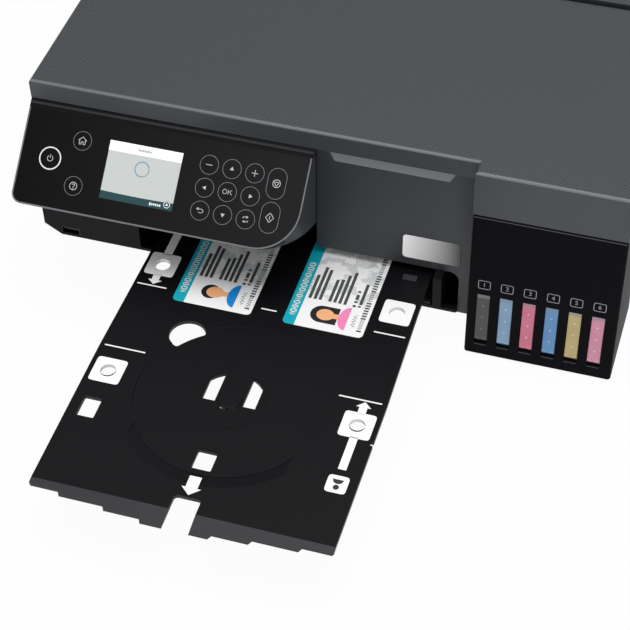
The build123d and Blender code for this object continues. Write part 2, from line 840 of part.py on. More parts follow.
# Keys: name -> (X, distance down, radius, height of a long key or None)
keys = {
    "power": (power_x, key_mid_v, power_radius, None),
    "home": (left_key_x, key_mid_v - left_key_pitch / 2, key_radius, None),
    "help": (left_key_x, key_mid_v + left_key_pitch / 2, key_radius, None),
    "stop": (long_key_x, key_mid_v - long_key_pitch / 2, key_radius, long_key_height),
    "start": (long_key_x, key_mid_v + long_key_pitch / 2, key_radius, long_key_height),
}
pad_keys = (("minus", "up", "plus"), ("left", "ok", "right"), ("back", "down", "swap"))
for row, names in enumerate(pad_keys):
    for column, name in enumerate(names):
        keys[name] = (key_mid_x + (column - 1) * key_pitch_x,
                      key_mid_v + (row - 1) * key_pitch_v, key_radius, None)


def key_shape(key, grow):
    """One key's outline in the current sketch, larger by grow all round."""
    x, down, radius, height = keys[key]
    with Locations((x, -down)):
        if height is None:
            Circle(radius + grow)
        else:
            SlotOverall(height + 2 * grow, 2 * (radius + grow), rotation=90)


with BuildPart() as control_panel_face:
    with BuildSketch(panel_plane(face_front)):
        panel_outline(trim_width, face_top)
    extrude(amount=-face_thick)
    with BuildSketch(panel_plane(face_front)):
        for key in keys:
            key_shape(key, seam)
        with Locations((screen_x, -screen_v)):
            Rectangle(screen_w, screen_h)
    extrude(amount=-face_thick, mode=Mode.SUBTRACT)
save(control_panel_face, "control_panel_face")

with BuildPart() as lcd_module:
    with BuildSketch(panel_plane(face_front + 0.2)):
        with Locations((screen_x, -screen_v)):
            Rectangle(screen_w - 0.2, screen_h - 0.2)
    extrude(amount=-(face_thick - 0.2))
    with BuildSketch(panel_plane(face_back)):
        with Locations((screen_x, -screen_v)):
            Rectangle(screen_w + 5, screen_h + 5)
    extrude(amount=-(board_depth - face_back))
save(lcd_module, "lcd_module")

with BuildPart() as control_panel_board:
    with BuildSketch(panel_plane(board_depth)):
        with Locations((panel_mid, -(panel_length - 3) / 2)):
            Rectangle(panel_right - panel_left - 24, panel_length - 20)
    extrude(amount=-board_thick)
    with BuildSketch(panel_plane(board_depth)):
        for x, down, radius, height in keys.values():
            with Locations((x, -down)):
                Circle(2.5)
    extrude(amount=switch_height)
save(control_panel_board, "control_panel_board")

for key in keys:
    x, down, radius, height = keys[key]
    with BuildPart() as button:
        with BuildSketch(panel_plane(face_front)):
            key_shape(key, 0)
        extrude(amount=-(face_thick + seam))
        with BuildSketch(panel_plane(face_back + seam)):
            key_shape(key, key_flange)
        extrude(amount=-key_flange_thick)
        stem_length = board_depth - switch_height - key_travel - seam - face_back - seam
        with BuildSketch(panel_plane(face_back + seam)):
            with Locations((x, -down)):
                Circle(key_stem_radius)
        extrude(amount=-stem_length)
    save(button, f"button_{key}")

# ---------------------------------------------------------------- disc tray
# A flat plate with a stepped lip, a recess and hub for one disc and pockets for two cards.
tray_bottom = tray_top - tray_thick
tray_front = disc_y - tray_nose
mark_hole_radius = 5.3
lip_notch_half = 8.5
lip_notch_x = 0.9          # the notch's middle, from the middle line
lip_notch_end = 80.0       # disc centre to the notch's inner end
lip_notch_corner = 2.5
moon_radius = 11.9
moon_chord = 57.8          # disc centre to the finger hole's inner edge
lip_drop = 2.3


def tray_front_points():
    """Left half of the stepped lip, from the notch outwards, as (X, Y) points."""
    points = []
    y = tray_front
    x = 0.5
    for step_x in tray_step_x:
        points += [(x, y), (step_x - 0.8, y)]
        y += tray_step
        x = step_x + 0.8
    points += [(x, y), (tray_half - 1, y), (tray_half, y + 1)]
    return points


# finger scoop: a shallow cone in front of the disc
with BuildPart() as scoop:
    with Locations((tray_mid, disc_y, tray_top - scoop_recess / 2)):
        Cone(disc_radius, scoop_radius, scoop_recess)
        Cylinder(disc_radius, scoop_recess + 1, mode=Mode.SUBTRACT)
    box(tray_mid - scoop_half, tray_mid + scoop_half, disc_y - scoop_radius - 1, disc_y,
        tray_top - scoop_recess - 1, tray_top + 1, mode=Mode.INTERSECT)

with BuildPart() as disc_tray:
    half_lip = tray_front_points()
    rear_half = tray_half - tray_taper
    right = [(tray_mid + x, y) for x, y in half_lip]
    left = [(tray_mid - x, y) for x, y in reversed(half_lip)]
    tray_rear = disc_y + tray_back
    with BuildSketch(Plane.XY.offset(tray_bottom)):
        with BuildLine():
            Polyline(
                *right, (tray_mid + tray_half, disc_y + 20),
                (tray_mid + rear_half, disc_y + 105),
                (tray_mid + rear_half, tray_rear - 14),
                (tray_mid + rear_half - 8, tray_rear),
                (tray_mid - rear_half + 8, tray_rear),
                (tray_mid - rear_half, tray_rear - 14),
                (tray_mid - rear_half, disc_y + 105),
                (tray_mid - tray_half, disc_y + 20), *left, close=True,
            )
        make_face()
    extrude(amount=tray_thick)
    # sloping lip
    side_profile(
        [
            (disc_y - tray_lip, tray_top), (tray_front - 1, tray_top - lip_drop - 0.2),
            (tray_front - 1, tray_top + 1), (disc_y - tray_lip, tray_top + 1),
        ],
        tray_mid - tray_half - 1,
        tray_mid + tray_half + 1,
        mode=Mode.SUBTRACT,
    )
    # disc recess and the finger scoop in front of it
    add(scoop.part, mode=Mode.SUBTRACT)
    with BuildSketch(Plane.XY.offset(tray_top)):
        with Locations((tray_mid, disc_y)):
            Circle(disc_radius)
    extrude(amount=-disc_recess, mode=Mode.SUBTRACT)
    # groove round the hub, hub windows, spindle
    with BuildSketch(Plane.XY.offset(tray_top - disc_recess)):
        with Locations((tray_mid, disc_y)):
            Circle(hub_ring_radius)
            Circle(hub_ring_radius - 0.8, mode=Mode.SUBTRACT)
    extrude(amount=-0.3, mode=Mode.SUBTRACT)
    with BuildSketch(Plane.XY.offset(tray_bottom)):
        with Locations((tray_mid, disc_y)):
            Circle(hub_ring_radius - 1.6)
            Rectangle(2 * 17.4, 60, mode=Mode.INTERSECT)
            Rectangle(2 * 9.1, 60, mode=Mode.SUBTRACT)
        with Locations((tray_mid, disc_y - 28.6)):
            Rectangle(60, 50, mode=Mode.SUBTRACT)
        # finger hole, half-moon notch, sensor holes
        with BuildSketch(mode=Mode.PRIVATE) as moon:
            with Locations((tray_mid - 44.3, disc_y + 44.4)):
                Circle(moon_radius)
            with Locations((tray_mid, disc_y)):
                Circle(moon_chord, mode=Mode.SUBTRACT)
            fillet(moon.vertices(), radius=2)
        add(moon.sketch)
        with Locations((tray_mid + lip_notch_x, disc_y - lip_notch_end - 15)):
            RectangleRounded(2 * lip_notch_half, 30, lip_notch_corner)
        with Locations((tray_mid + tray_half, disc_y - 10.9)):
            Rectangle(4, 3)
        with Locations((tray_mid - 82.7, disc_y - 29.9)):
            RectangleRounded(11.6, 16.1, 1)
        with Locations((tray_mid + 0.8, disc_y - 50.6)):
            RectangleRounded(12.4, 14.2, 1)
        with Locations((tray_mid - 81.5, disc_y + 99.6), (tray_mid + 80.8, disc_y + 99),
                       (tray_mid - 82.8, disc_y + 2.6), (tray_mid + 82.2, disc_y + 1.9)):
            Circle(mark_hole_radius)
    extrude(amount=tray_thick + 1, mode=Mode.SUBTRACT)
    with BuildSketch(Plane.XY.offset(tray_top - disc_recess)):
        with Locations((tray_mid, disc_y)):
            Circle(spindle_radius)
    extrude(amount=spindle_height)
    # two slots through the tray at the spindle's front
    with BuildSketch(Plane.XY.offset(tray_top)):
        with Locations((tray_mid, disc_y)):
            for start in (235, 286):
                SlotArc(CenterArc((0, 0), spindle_radius + 0.9, start, 26,
                                  mode=Mode.PRIVATE), 1.4)
    extrude(amount=-tray_thick - 1, mode=Mode.SUBTRACT)
    # card pockets
    with BuildSketch(Plane.XY.offset(tray_top)):
        for side in (-1, 1):
            with Locations((tray_mid + side * card_offset,
                            disc_y + card_front + card_length / 2)):
                RectangleRounded(card_width + 2 * card_play, card_length + 2 * card_play,
                                 card_corner)
    extrude(amount=-card_thick - 0.04, mode=Mode.SUBTRACT)
save(disc_tray, "disc_tray")

with BuildPart() as id_cards:
    with BuildSketch(Plane.XY.offset(tray_top - card_thick - 0.04)):
        for side in (-1, 1):
            with Locations((tray_mid + side * card_offset,
                            disc_y + card_front + card_length / 2)):
                RectangleRounded(card_width, card_length, card_corner)
    extrude(amount=card_thick)
save(id_cards, "id_cards")

# ---------------------------------------------------------------- output tray
out_top = out_bottom + out_thick
with BuildPart() as output_tray:
    box(tray_mid - out_half, tray_mid + out_half, out_front, out_back, out_bottom, out_top)
    fillet(output_tray.edges().filter_by(Axis.X).group_by(Axis.Y)[0], radius=0.8)
    box(tray_mid - ext_half - seam, tray_mid + ext_half + seam, out_front - 1,
        out_front + ext_length + 4, out_top - ext_thick - seam, out_top + 1,
        mode=Mode.SUBTRACT)
    # sloping stop at the inner end
    side_profile(
        [(out_back - 14, out_top), (out_back - 8, out_top + 1.6), (out_back, out_top + 1.6),
         (out_back, out_top)],
        tray_mid - out_half,
        tray_mid + out_half,
    )
save(output_tray, "output_tray")

with BuildPart() as output_tray_extension:
    box(tray_mid - ext_half, tray_mid + ext_half, out_front + 0.6,
        out_front + ext_length, out_top - ext_thick, out_top)
    box(tray_mid - 12, tray_mid + 12, out_front + 5, out_front + 9, out_top - 0.5,
        out_top + 1, mode=Mode.SUBTRACT)
save(output_tray_extension, "output_tray_extension")

# ---------------------------------------------------------------- chassis
# Bent sheet: a beam that guides the carriage, and side plates that carry the rollers.
plate_bottom = 31.5
plate_top = 49.0
feed_z = ledge_top - feed_radius
eject_z = ledge_top - eject_radius
feed_shaft = 3.0
eject_shaft = 2.0
belt_shaft = 1.5
motor_radius = 10.5
feed_motor_y = 108.0
feed_motor_z = 44.0
with BuildPart() as chassis:
    beam_half = body_half - 9
    box(-beam_half, beam_half, beam_front, beam_front + sheet, beam_bottom, beam_top)
    box(-beam_half, beam_half, beam_front, beam_front + 12, beam_top - sheet, beam_top)
    box(-beam_half, beam_half, beam_front, beam_front + 12, beam_bottom, beam_bottom + sheet)
    for x0 in (side_plate_left, side_plate_right):
        side_profile(
            [
                (eject_y - 8, plate_bottom), (eject_y - 8, plate_top),
                (beam_front, plate_top), (beam_front, beam_bottom + sheet),
                (feed_motor_y + 16, beam_bottom + sheet), (feed_motor_y + 16, plate_bottom),
            ],
            x0,
            x0 + sheet,
        )
        for y, z, radius in ((feed_y, feed_z, feed_shaft), (eject_y, eject_z, eject_shaft)):
            with Locations(Location((x0 + sheet / 2, y, z), (0, 90, 0))):
                Cylinder(radius + running_gap, sheet + 1, mode=Mode.SUBTRACT)
    for side in (-1, 1):
        with Locations(Location((side * belt_half, beam_front + sheet / 2, belt_z), (90, 0, 0))):
            Cylinder(belt_shaft + running_gap, sheet + 1, mode=Mode.SUBTRACT)
    # legs that stand on the lower case's floor
    for x0 in (side_plate_left, side_plate_right):
        box(x0, x0 + sheet, 84, 104, foot_height + wall, plate_bottom)
    for side in (-1, 1):
        x0 = side * (beam_half - 5)
        box(x0 - 5, x0 + 5, beam_front + 10, beam_front + 12, side_cut_top + wall + 6,
            beam_bottom + 1)
save(chassis, "chassis")

# ---------------------------------------------------------------- platen
platen_top = ledge_top - 0.2
with BuildPart() as platen:
    box(tray_mid - 86, tray_mid + 86, print_line - 24, print_line + 26, 33.5, 40)
    for i in range(12):
        x = tray_mid - 82 + i * 164 / 11
        box(x - 1, x + 1, print_line - 22, print_line + 22, 40, platen_top)
    for x0, x1 in ((side_plate_left + sheet, tray_mid - 86), (tray_mid + 86, side_plate_right)):
        box(x0, x1, print_line - 8, print_line + 8, 34, 38)
save(platen, "platen")

# ---------------------------------------------------------------- rollers
with BuildPart() as feed_roller:
    with Locations(Location((tray_mid - 1.8, feed_y, feed_z), (0, 90, 0))):
        Cylinder(feed_shaft, side_plate_right - side_plate_left + 4)
        Cylinder(feed_radius - 1, 2 * out_half - 12)
    for i in range(7):
        with Locations(Location((tray_mid - 81 + i * 27, feed_y, feed_z), (0, 90, 0))):
            Cylinder(feed_radius, 16)
save(feed_roller, "feed_roller")

with BuildPart() as eject_roller:
    with Locations(Location((tray_mid - 1.8, eject_y, eject_z), (0, 90, 0))):
        Cylinder(eject_shaft, side_plate_right - side_plate_left + 4)
    for i in range(6):
        with Locations(Location((tray_mid - 75 + i * 30, eject_y, eject_z), (0, 90, 0))):
            Cylinder(eject_radius, 8)
save(eject_roller, "eject_roller")

# ---------------------------------------------------------------- carriage and print head
carriage_x = 125.0         # parked over the maintenance station
carriage_half = 30.0
carriage_front = print_line - 26
carriage_back = print_line + 22
head_thick = 3.0
with BuildPart() as carriage:
    box(carriage_x - carriage_half, carriage_x + carriage_half, carriage_front,
        carriage_back, head_level + head_thick, beam_top - 2)
    fillet(
        carriage.edges().filter_by(Axis.X).filter_by(lambda e: e.center().Z > beam_top - 3),
        radius=6,
    )
    # hook that rides on the beam
    box(carriage_x - 24, carriage_x + 24, carriage_back - 14, beam_front + 15.5,
        beam_top + seam, beam_top + 3.2)
    box(carriage_x - 24, carriage_x + 24, beam_front + 12.3, beam_front + 15.5,
        beam_top - 8, beam_top + seam)
    box(carriage_x - 24, carriage_x + 24, carriage_back - 14, carriage_back,
        beam_top - 10, beam_top + seam)
    # belt clamp
    box(carriage_x - 8, carriage_x + 8, carriage_back, belt_front - seam,
        belt_z - pulley_radius - 6, belt_z - pulley_radius + 4)
    # row of cartridge pockets on top
    for i in range(6):
        x = carriage_x - 22.5 + i * 9
        box(x - 3.4, x + 3.4, carriage_front + 8, carriage_back - 18, beam_top - 16,
            beam_top - 1, mode=Mode.SUBTRACT)
save(carriage, "carriage")

with BuildPart() as print_head:
    box(carriage_x - 20, carriage_x + 20, print_line - 16, print_line + 16, head_level,
        head_level + head_thick)
    fillet(print_head.edges().filter_by(Axis.Z), radius=2)
save(print_head, "print_head")

# ---------------------------------------------------------------- maintenance station
with BuildPart() as maintenance_station:
    box(carriage_x - 28, carriage_x + 28, print_line - 24, print_line + 24,
        foot_height + wall, 44)
    box(carriage_x - 22, carriage_x + 22, print_line - 18, print_line + 18, 44,
        head_level - seam)
    box(carriage_x - 20, carriage_x + 20, print_line - 16, print_line + 16, 40,
        head_level, mode=Mode.SUBTRACT)
    box(carriage_x - 27, carriage_x - 24.5, print_line - 14, print_line + 14, 44,
        head_level - seam)
save(maintenance_station, "maintenance_station")

# ---------------------------------------------------------------- belt, pulleys, motors
belt_inner = pulley_radius + seam
with BuildPart() as timing_belt:
    with BuildSketch(Plane.XZ.offset(-belt_front)):
        with Locations((0, belt_z)):
            SlotCenterToCenter(2 * belt_half, 2 * (belt_inner + belt_thick))
            SlotCenterToCenter(2 * belt_half, 2 * belt_inner, mode=Mode.SUBTRACT)
    extrude(amount=-belt_width)
save(timing_belt, "timing_belt")

for name, side in (("drive_pulley", 1), ("idler_pulley", -1)):
    with BuildPart() as pulley:
        with Locations(Location((side * belt_half, belt_front + belt_width / 2, belt_z),
                                (90, 0, 0))):
            Cylinder(pulley_radius, belt_width)
        with Locations(Location((side * belt_half, beam_front, belt_z), (90, 0, 0))):
            Cylinder(belt_shaft, 8)
    save(pulley, name)

with BuildPart() as drive_motors:
    with Locations(Location((belt_half, beam_front + sheet + 12, belt_z), (90, 0, 0))):
        Cylinder(motor_radius, 24)
    with Locations(Location((belt_half, beam_front + sheet + 2, belt_z), (90, 0, 0))):
        Cylinder(belt_shaft + running_gap, 6, mode=Mode.SUBTRACT)
    with Locations(Location((side_plate_left - 14, feed_motor_y, feed_motor_z), (0, 90, 0))):
        Cylinder(motor_radius, 28)
save(drive_motors, "drive_motors")

# ---------------------------------------------------------------- ink tubes
# The fixed run of the six tubes, a flat ribbon from the tanks over the deck to the rear.
ribbon_width = 15.0
ribbon_thick = 2.4
with BuildPart() as ink_tubes:
    box(142, 142 + ribbon_width, -16, -16 + ribbon_thick, tank_body_top, deck_top + ribbon_thick)
    box(142, 142 + ribbon_width, -16, 84, deck_top, deck_top + ribbon_thick)
    box(-20, 142 + ribbon_width, 84 - ribbon_width, 84, deck_top, deck_top + ribbon_thick)
    for i in range(1, 6):
        x = 142 + i * ribbon_width / 6
        box(x - 0.2, x + 0.2, -16, 84 - ribbon_width, deck_top + ribbon_thick - 0.5,
            deck_top + ribbon_thick + 1, mode=Mode.SUBTRACT)
save(ink_tubes, "ink_tubes")

# ---------------------------------------------------------------- power supply, main board
with BuildPart() as power_supply:
    box(supply_left, supply_right, 180, body_rear - wall - 0.3, foot_height + wall, 42)
    box(inlet_x - inlet_width / 2 + 0.2, inlet_x + inlet_width / 2 - 0.2,
        body_rear - wall - 0.3, body_rear - 0.4, inlet_z - inlet_height / 2 + 0.2,
        inlet_z + inlet_height / 2 - 0.2)
    with BuildSketch(Plane.XZ.offset(-(body_rear - 0.4))):
        with Locations((inlet_x, inlet_z)):
            SlotOverall(16, 8)
    extrude(amount=14, mode=Mode.SUBTRACT)
    with Locations(*[Location((inlet_x + dx, body_rear - 9, inlet_z), (90, 0, 0))
                     for dx in (-4, 4)]):
        Cylinder(1.2, 12)
save(power_supply, "power_supply")

board_level = foot_height + wall + 8
with BuildPart() as main_board:
    box(tank_left + 1.7, body_half - 21, 64, body_rear - 9.4, board_level, board_level + 1.6)
    box(device_port_x - 6.2, device_port_x + 6.2, body_rear - 18.4, body_rear - 0.4,
        board_level + 1.6, device_port_z + 5.8)
    box(device_port_x - 4, device_port_x + 4, body_rear - 10.4, body_rear, device_port_z - 3.5,
        device_port_z + 3.8, mode=Mode.SUBTRACT)
    for x, y, size in ((130, 120, 24), (150, 180, 16), (125, 220, 12)):
        box(x - size / 2, x + size / 2, y - size / 2, y + size / 2, board_level + 1.6,
            board_level + 4)
save(main_board, "main_board")

# ---------------------------------------------------------------- rear covers
with BuildPart() as rear_cover:
    box(-112 + seam, 72 - seam, body_rear - wall, body_rear, case_split + 5.5 + seam,
        deck_top - 6 - seam)
    fillet(rear_cover.edges().filter_by(Axis.Y), radius=3)
    for x in (-90, 50):
        box(x - 9, x + 9, body_rear - 1.6, body_rear + 1, deck_top - 36, deck_top - 24,
            mode=Mode.SUBTRACT)
    for i in range(6):
        z = 76 + i * 4
        box(-60, 20, body_rear - 0.6, body_rear + 1, z - 0.6, z + 0.6, mode=Mode.SUBTRACT)
save(rear_cover, "rear_cover")

flap_left = tray_mid - flap_half
flap_right = tray_mid + flap_half
flap_axis_z = body_top - flap_radius
flap_rear = flap_axis_y + flap_radius + flap_rear_gap
with BuildPart() as rear_top_cover:
    box(-body_half, body_half, rear_cover_front, body_rear, deck_top, body_top)
    fillet(
        rear_top_cover.edges().filter_by(
            lambda e: e.center().Z > body_top - 0.01 and e.center().Y > rear_cover_front + 1
        ),
        radius=edge_round,
    )
    box(skin - body_half, body_half - skin, rear_cover_front + skin, body_rear - skin,
        deck_top - 1, body_top - skin, mode=Mode.SUBTRACT)
    box(flap_left - seam, flap_right + seam, flap_front - seam, flap_rear,
        body_top - skin - 1, body_top + 1, mode=Mode.SUBTRACT)
    for x0 in (flap_left - seam - 3, flap_right + seam):
        box(x0, x0 + 3, flap_axis_y - 5, flap_axis_y + 5, flap_axis_z - 5, body_top - skin)
    with Locations(Location((tray_mid, flap_axis_y, flap_axis_z), (0, 90, 0))):
        Cylinder(pin_radius + running_gap, 2 * (flap_half + seam + 2.6), mode=Mode.SUBTRACT)
save(rear_top_cover, "rear_top_cover")

with BuildPart() as paper_support:
    box(flap_left, flap_right, flap_front, flap_axis_y, body_top - skin, body_top)
    with Locations(Location((tray_mid, flap_axis_y, flap_axis_z), (0, 90, 0))):
        Cylinder(flap_radius, 2 * flap_half)
        Cylinder(pin_radius, 2 * (flap_half + seam + 2.2))
    # finger notch at the front edge and ribs beneath
    with BuildSketch(Plane.XY.offset(body_top + 1)):
        with Locations((tray_mid, flap_front - 12)):
            Circle(20)
    extrude(amount=-(skin + 2), mode=Mode.SUBTRACT)
    for i in range(5):
        x = tray_mid - 80 + i * 40
        box(x - 0.8, x + 0.8, flap_front + 12, flap_axis_y - 4, body_top - skin - 1.4,
            body_top - skin)
save(paper_support, "paper_support")

# ---------------------------------------------------------------- paper chute and guides
chute_half = 106.0
chute_top = (268.0, deck_top - 2.0)    # (Y, Z) of its upper surface
chute_bend = (140.0, 62.0)
chute_end = (84.0, 53.0)
chute_thick = 2.5
chute_slope = (chute_top[1] - chute_bend[1]) / (chute_top[0] - chute_bend[0])


def chute_level(y):
    """Z of the chute's upper surface at y, on its steep part."""
    return chute_top[1] + (y - chute_top[0]) * chute_slope


with BuildPart() as paper_chute:
    side_profile(
        [
            chute_end, chute_bend, chute_top,
            (chute_top[0], chute_top[1] - 3.2), (chute_bend[0], chute_bend[1] - 3.2),
            (chute_end[0], chute_end[1] - chute_thick),
        ],
        tray_mid - chute_half,
        tray_mid + chute_half,
    )
    # hangers that seat it under the deck
    for side in (-1, 1):
        x0 = tray_mid + side * (chute_half - 2) - 2
        side_profile(
            [
                (250, chute_level(250) - 2), (chute_top[0], chute_top[1] - 2),
                (body_rear - wall, chute_top[1] - 2), (body_rear - wall, deck_top - deck_thick),
                (270.2, deck_top - deck_thick), (265, chute_level(265) + 1),
            ],
            x0,
            x0 + 4,
        )
save(paper_chute, "paper_chute")

guide_reach = (212.0, 258.0)
guide_height = 22.0
guide_inset = 14.0
for name, side in (("edge_guide_left", -1), ("edge_guide_right", 1)):
    outer = tray_mid + side * (chute_half - guide_inset)
    with BuildPart() as edge_guide:
        low, high = guide_reach
        side_profile(
            [
                (low, chute_level(low) + seam), (high, chute_level(high) + seam),
                (high, chute_level(high) + seam + 8), (high - 8, body_top - skin - 3),
                (low + 10, body_top - skin - 8), (low, chute_level(low) + guide_height),
            ],
            outer - 1.2,
            outer + 1.2,
        )
        x0 = min(outer, outer - side * 16)
        side_profile(
            [
                (low, chute_level(low) + seam), (high, chute_level(high) + seam),
                (high, chute_level(high) + seam + 1.6), (low, chute_level(low) + seam + 1.6),
            ],
            x0,
            x0 + 16,
        )
    save(edge_guide, name)

# ---------------------------------------------------------------- case screws
with BuildPart() as case_screws:
    for x, z in rear_screws_low + rear_screws_high:
        with Locations(Location((x, body_rear - screw_head / 2, z), (90, 0, 0))):
            Cylinder(screw_head_radius, screw_head)
        with Locations(Location((x, body_rear - screw_head - 3, z), (90, 0, 0))):
            Cylinder(screw_shank_radius, 6)
save(case_screws, "case_screws")
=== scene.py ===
import json
import math

import bmesh
import bpy
from mathutils import Matrix, Vector


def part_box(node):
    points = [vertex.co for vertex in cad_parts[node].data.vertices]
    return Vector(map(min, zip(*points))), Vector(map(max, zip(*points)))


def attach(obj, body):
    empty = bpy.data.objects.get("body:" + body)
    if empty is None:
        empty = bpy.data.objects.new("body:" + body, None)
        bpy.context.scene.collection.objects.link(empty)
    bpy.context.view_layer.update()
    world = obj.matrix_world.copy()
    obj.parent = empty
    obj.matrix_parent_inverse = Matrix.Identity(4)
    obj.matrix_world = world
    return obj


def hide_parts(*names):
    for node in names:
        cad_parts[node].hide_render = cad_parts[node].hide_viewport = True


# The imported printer, in metres. Everything below is placed from its nodes and joints.
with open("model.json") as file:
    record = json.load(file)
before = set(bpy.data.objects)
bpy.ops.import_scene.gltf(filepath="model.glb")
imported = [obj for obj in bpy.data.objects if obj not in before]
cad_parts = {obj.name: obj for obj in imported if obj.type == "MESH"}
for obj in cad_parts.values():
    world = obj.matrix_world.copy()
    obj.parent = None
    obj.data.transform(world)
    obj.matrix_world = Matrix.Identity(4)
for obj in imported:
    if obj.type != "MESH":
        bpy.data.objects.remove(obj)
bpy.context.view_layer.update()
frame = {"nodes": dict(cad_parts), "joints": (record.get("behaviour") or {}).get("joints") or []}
nodes = frame["nodes"]
joints = {joint["name"]: joint for joint in frame["joints"]}
mm = 0.001


# ---------------------------------------------------------------- case shells
# The tub, the walls above it and the rear cover are moulded in dark ABS from etched
# tools, which gives them a fine, even, satin grain. The tub is nearly black.
def linear(hex_colour):
    """An sRGB hex colour as linear RGBA."""
    channels = [int(hex_colour[i : i + 2], 16) / 255 for i in (1, 3, 5)]
    return [c / 12.92 if c <= 0.04045 else ((c + 0.055) / 1.055) ** 2.4 for c in channels] + [1.0]


def add_node(tree, kind, inputs=(), **settings):
    """Adds a node with its settings, and gives its inputs their values or links."""
    node = tree.nodes.new(kind)
    for name, value in settings.items():
        setattr(node, name, value)
    for socket, value in dict(inputs).items():
        if isinstance(value, bpy.types.NodeSocket):
            tree.links.new(value, node.inputs[socket])
        else:
            node.inputs[socket].default_value = value
    return node


def start_material(name):
    """A material with an empty node tree."""
    material = bpy.data.materials.new(name)
    material.use_nodes = True
    material.node_tree.nodes.clear()
    return material, material.node_tree


def end_material(tree, shader):
    """Sends a shader to the surface."""
    add_node(tree, "ShaderNodeOutputMaterial", {"Surface": shader.outputs[0]})


def etched_plastic(name, dark, pale, grain, relief, roughness, shine=0.5):
    """Plastic from an etched tool: grain is the pit spacing, relief the pit depth."""
    material, tree = start_material(name)
    place = add_node(tree, "ShaderNodeTexCoord").outputs["Object"]
    pits = add_node(
        tree, "ShaderNodeTexNoise", {"Vector": place, "Scale": 1 / grain, "Detail": 2.0}
    )
    handling = add_node(
        tree, "ShaderNodeTexNoise", {"Vector": place, "Scale": 1 / (45 * mm), "Detail": 4.0}
    )
    shade = add_node(
        tree,
        "ShaderNodeMapRange",
        {"Value": pits.outputs["Fac"], "From Min": 0.3, "From Max": 0.7},
    )
    colour = add_node(
        tree,
        "ShaderNodeMix",
        {"Factor": shade.outputs[0], 6: linear(dark), 7: linear(pale)},
        data_type="RGBA",
    )
    polish = add_node(
        tree,
        "ShaderNodeMapRange",
        {
            "Value": handling.outputs["Fac"],
            "To Min": roughness - 0.06,
            "To Max": roughness + 0.06,
        },
    )
    surface = add_node(
        tree,
        "ShaderNodeBump",
        {"Height": pits.outputs["Fac"], "Distance": relief, "Strength": 0.6},
    )
    shader = add_node(
        tree,
        "ShaderNodeBsdfPrincipled",
        {
            "Base Color": colour.outputs[2],
            "Roughness": polish.outputs[0],
            "Normal": surface.outputs[0],
            "IOR": 1.53,
            "Specular IOR Level": shine,
        },
    )
    end_material(tree, shader)
    return material


def dress(material, *names):
    """Gives CAD nodes a material in every slot."""
    for name in names:
        mesh = nodes[name].data
        mesh.materials.clear()
        mesh.materials.append(material)


def lay_over(material, source, direction, start, full, colour):
    """Lays another tone over a colour as a coordinate, along a direction, goes from start
    to full: "Normal" for the way that faces lean, "Object" for the place on the piece."""
    tree = material.node_tree
    shader = next(n for n in tree.nodes if n.type == "BSDF_PRINCIPLED")
    plain = shader.inputs["Base Color"].links[0].from_socket
    point = add_node(tree, "ShaderNodeTexCoord").outputs[source]
    along = add_node(
        tree, "ShaderNodeVectorMath", {0: point, 1: direction}, operation="DOT_PRODUCT"
    )
    share = add_node(
        tree,
        "ShaderNodeMapRange",
        {"Value": along.outputs["Value"], "From Min": start, "From Max": full},
    )
    mixed = add_node(
        tree,
        "ShaderNodeMix",
        {"Factor": share.outputs[0], 6: plain, 7: linear(colour)},
        data_type="RGBA",
    )
    tree.links.new(mixed.outputs[2], shader.inputs["Base Color"])


tub_plastic = etched_plastic(
    "black_etched_abs", "#0f0f13", "#16161a", 0.5 * mm, 0.04 * mm, 0.52, 0.1
)
wall_plastic = etched_plastic(
    "grey_etched_abs", "#303338", "#383b40", 0.5 * mm, 0.04 * mm, 0.5, 0.3
)
dress(tub_plastic, "lower_case")
dress(wall_plastic, "middle_case", "rear_cover")


# ---------------------------------------------------------------- printer cover
# The cover, the rear top cover and the support flap are grey ABS. Their tops carry a
# moulded twill of shallow dots, 1.8 mm apart in diagonal rows; their edges are plain.
twill_pitch = 1.8 * mm
twill_relief = 0.09 * mm

cover_plastic, cover_tree = start_material("grey_twill_abs")
cover_place = add_node(cover_tree, "ShaderNodeTexCoord")
turned = add_node(
    cover_tree,
    "ShaderNodeMapping",
    {
        "Vector": cover_place.outputs["Object"],
        "Rotation": (0, 0, math.radians(45)),
        "Scale": [2 * math.pi / twill_pitch] * 3,
    },
)
along = add_node(cover_tree, "ShaderNodeSeparateXYZ", {0: turned.outputs[0]})
rows = add_node(cover_tree, "ShaderNodeMath", {0: along.outputs["X"]}, operation="SINE")
columns = add_node(cover_tree, "ShaderNodeMath", {0: along.outputs["Y"]}, operation="SINE")
dots = add_node(
    cover_tree, "ShaderNodeMath", {0: rows.outputs[0], 1: columns.outputs[0]}, operation="ADD"
)
facing = add_node(cover_tree, "ShaderNodeSeparateXYZ", {0: cover_place.outputs["Normal"]})
top_only = add_node(
    cover_tree,
    "ShaderNodeMapRange",
    {"Value": facing.outputs["Z"], "From Min": 0.93, "From Max": 0.99},
)
twill = add_node(
    cover_tree, "ShaderNodeMath", {0: dots.outputs[0], 1: top_only.outputs[0]},
    operation="MULTIPLY",
)
cover_pits = add_node(
    cover_tree,
    "ShaderNodeTexNoise",
    {"Vector": cover_place.outputs["Object"], "Scale": 1 / (0.6 * mm), "Detail": 2.0},
)
cover_shade = add_node(
    cover_tree,
    "ShaderNodeMapRange",
    {"Value": twill.outputs[0], "From Min": -1.3, "From Max": 1.3},
)
cover_colour = add_node(
    cover_tree,
    "ShaderNodeMix",
    {"Factor": cover_shade.outputs[0], 6: linear("#1f2226"), 7: linear("#45494f")},
    data_type="RGBA",
)
cover_grain = add_node(
    cover_tree,
    "ShaderNodeBump",
    {"Height": cover_pits.outputs["Fac"], "Distance": 0.03 * mm, "Strength": 0.5},
)
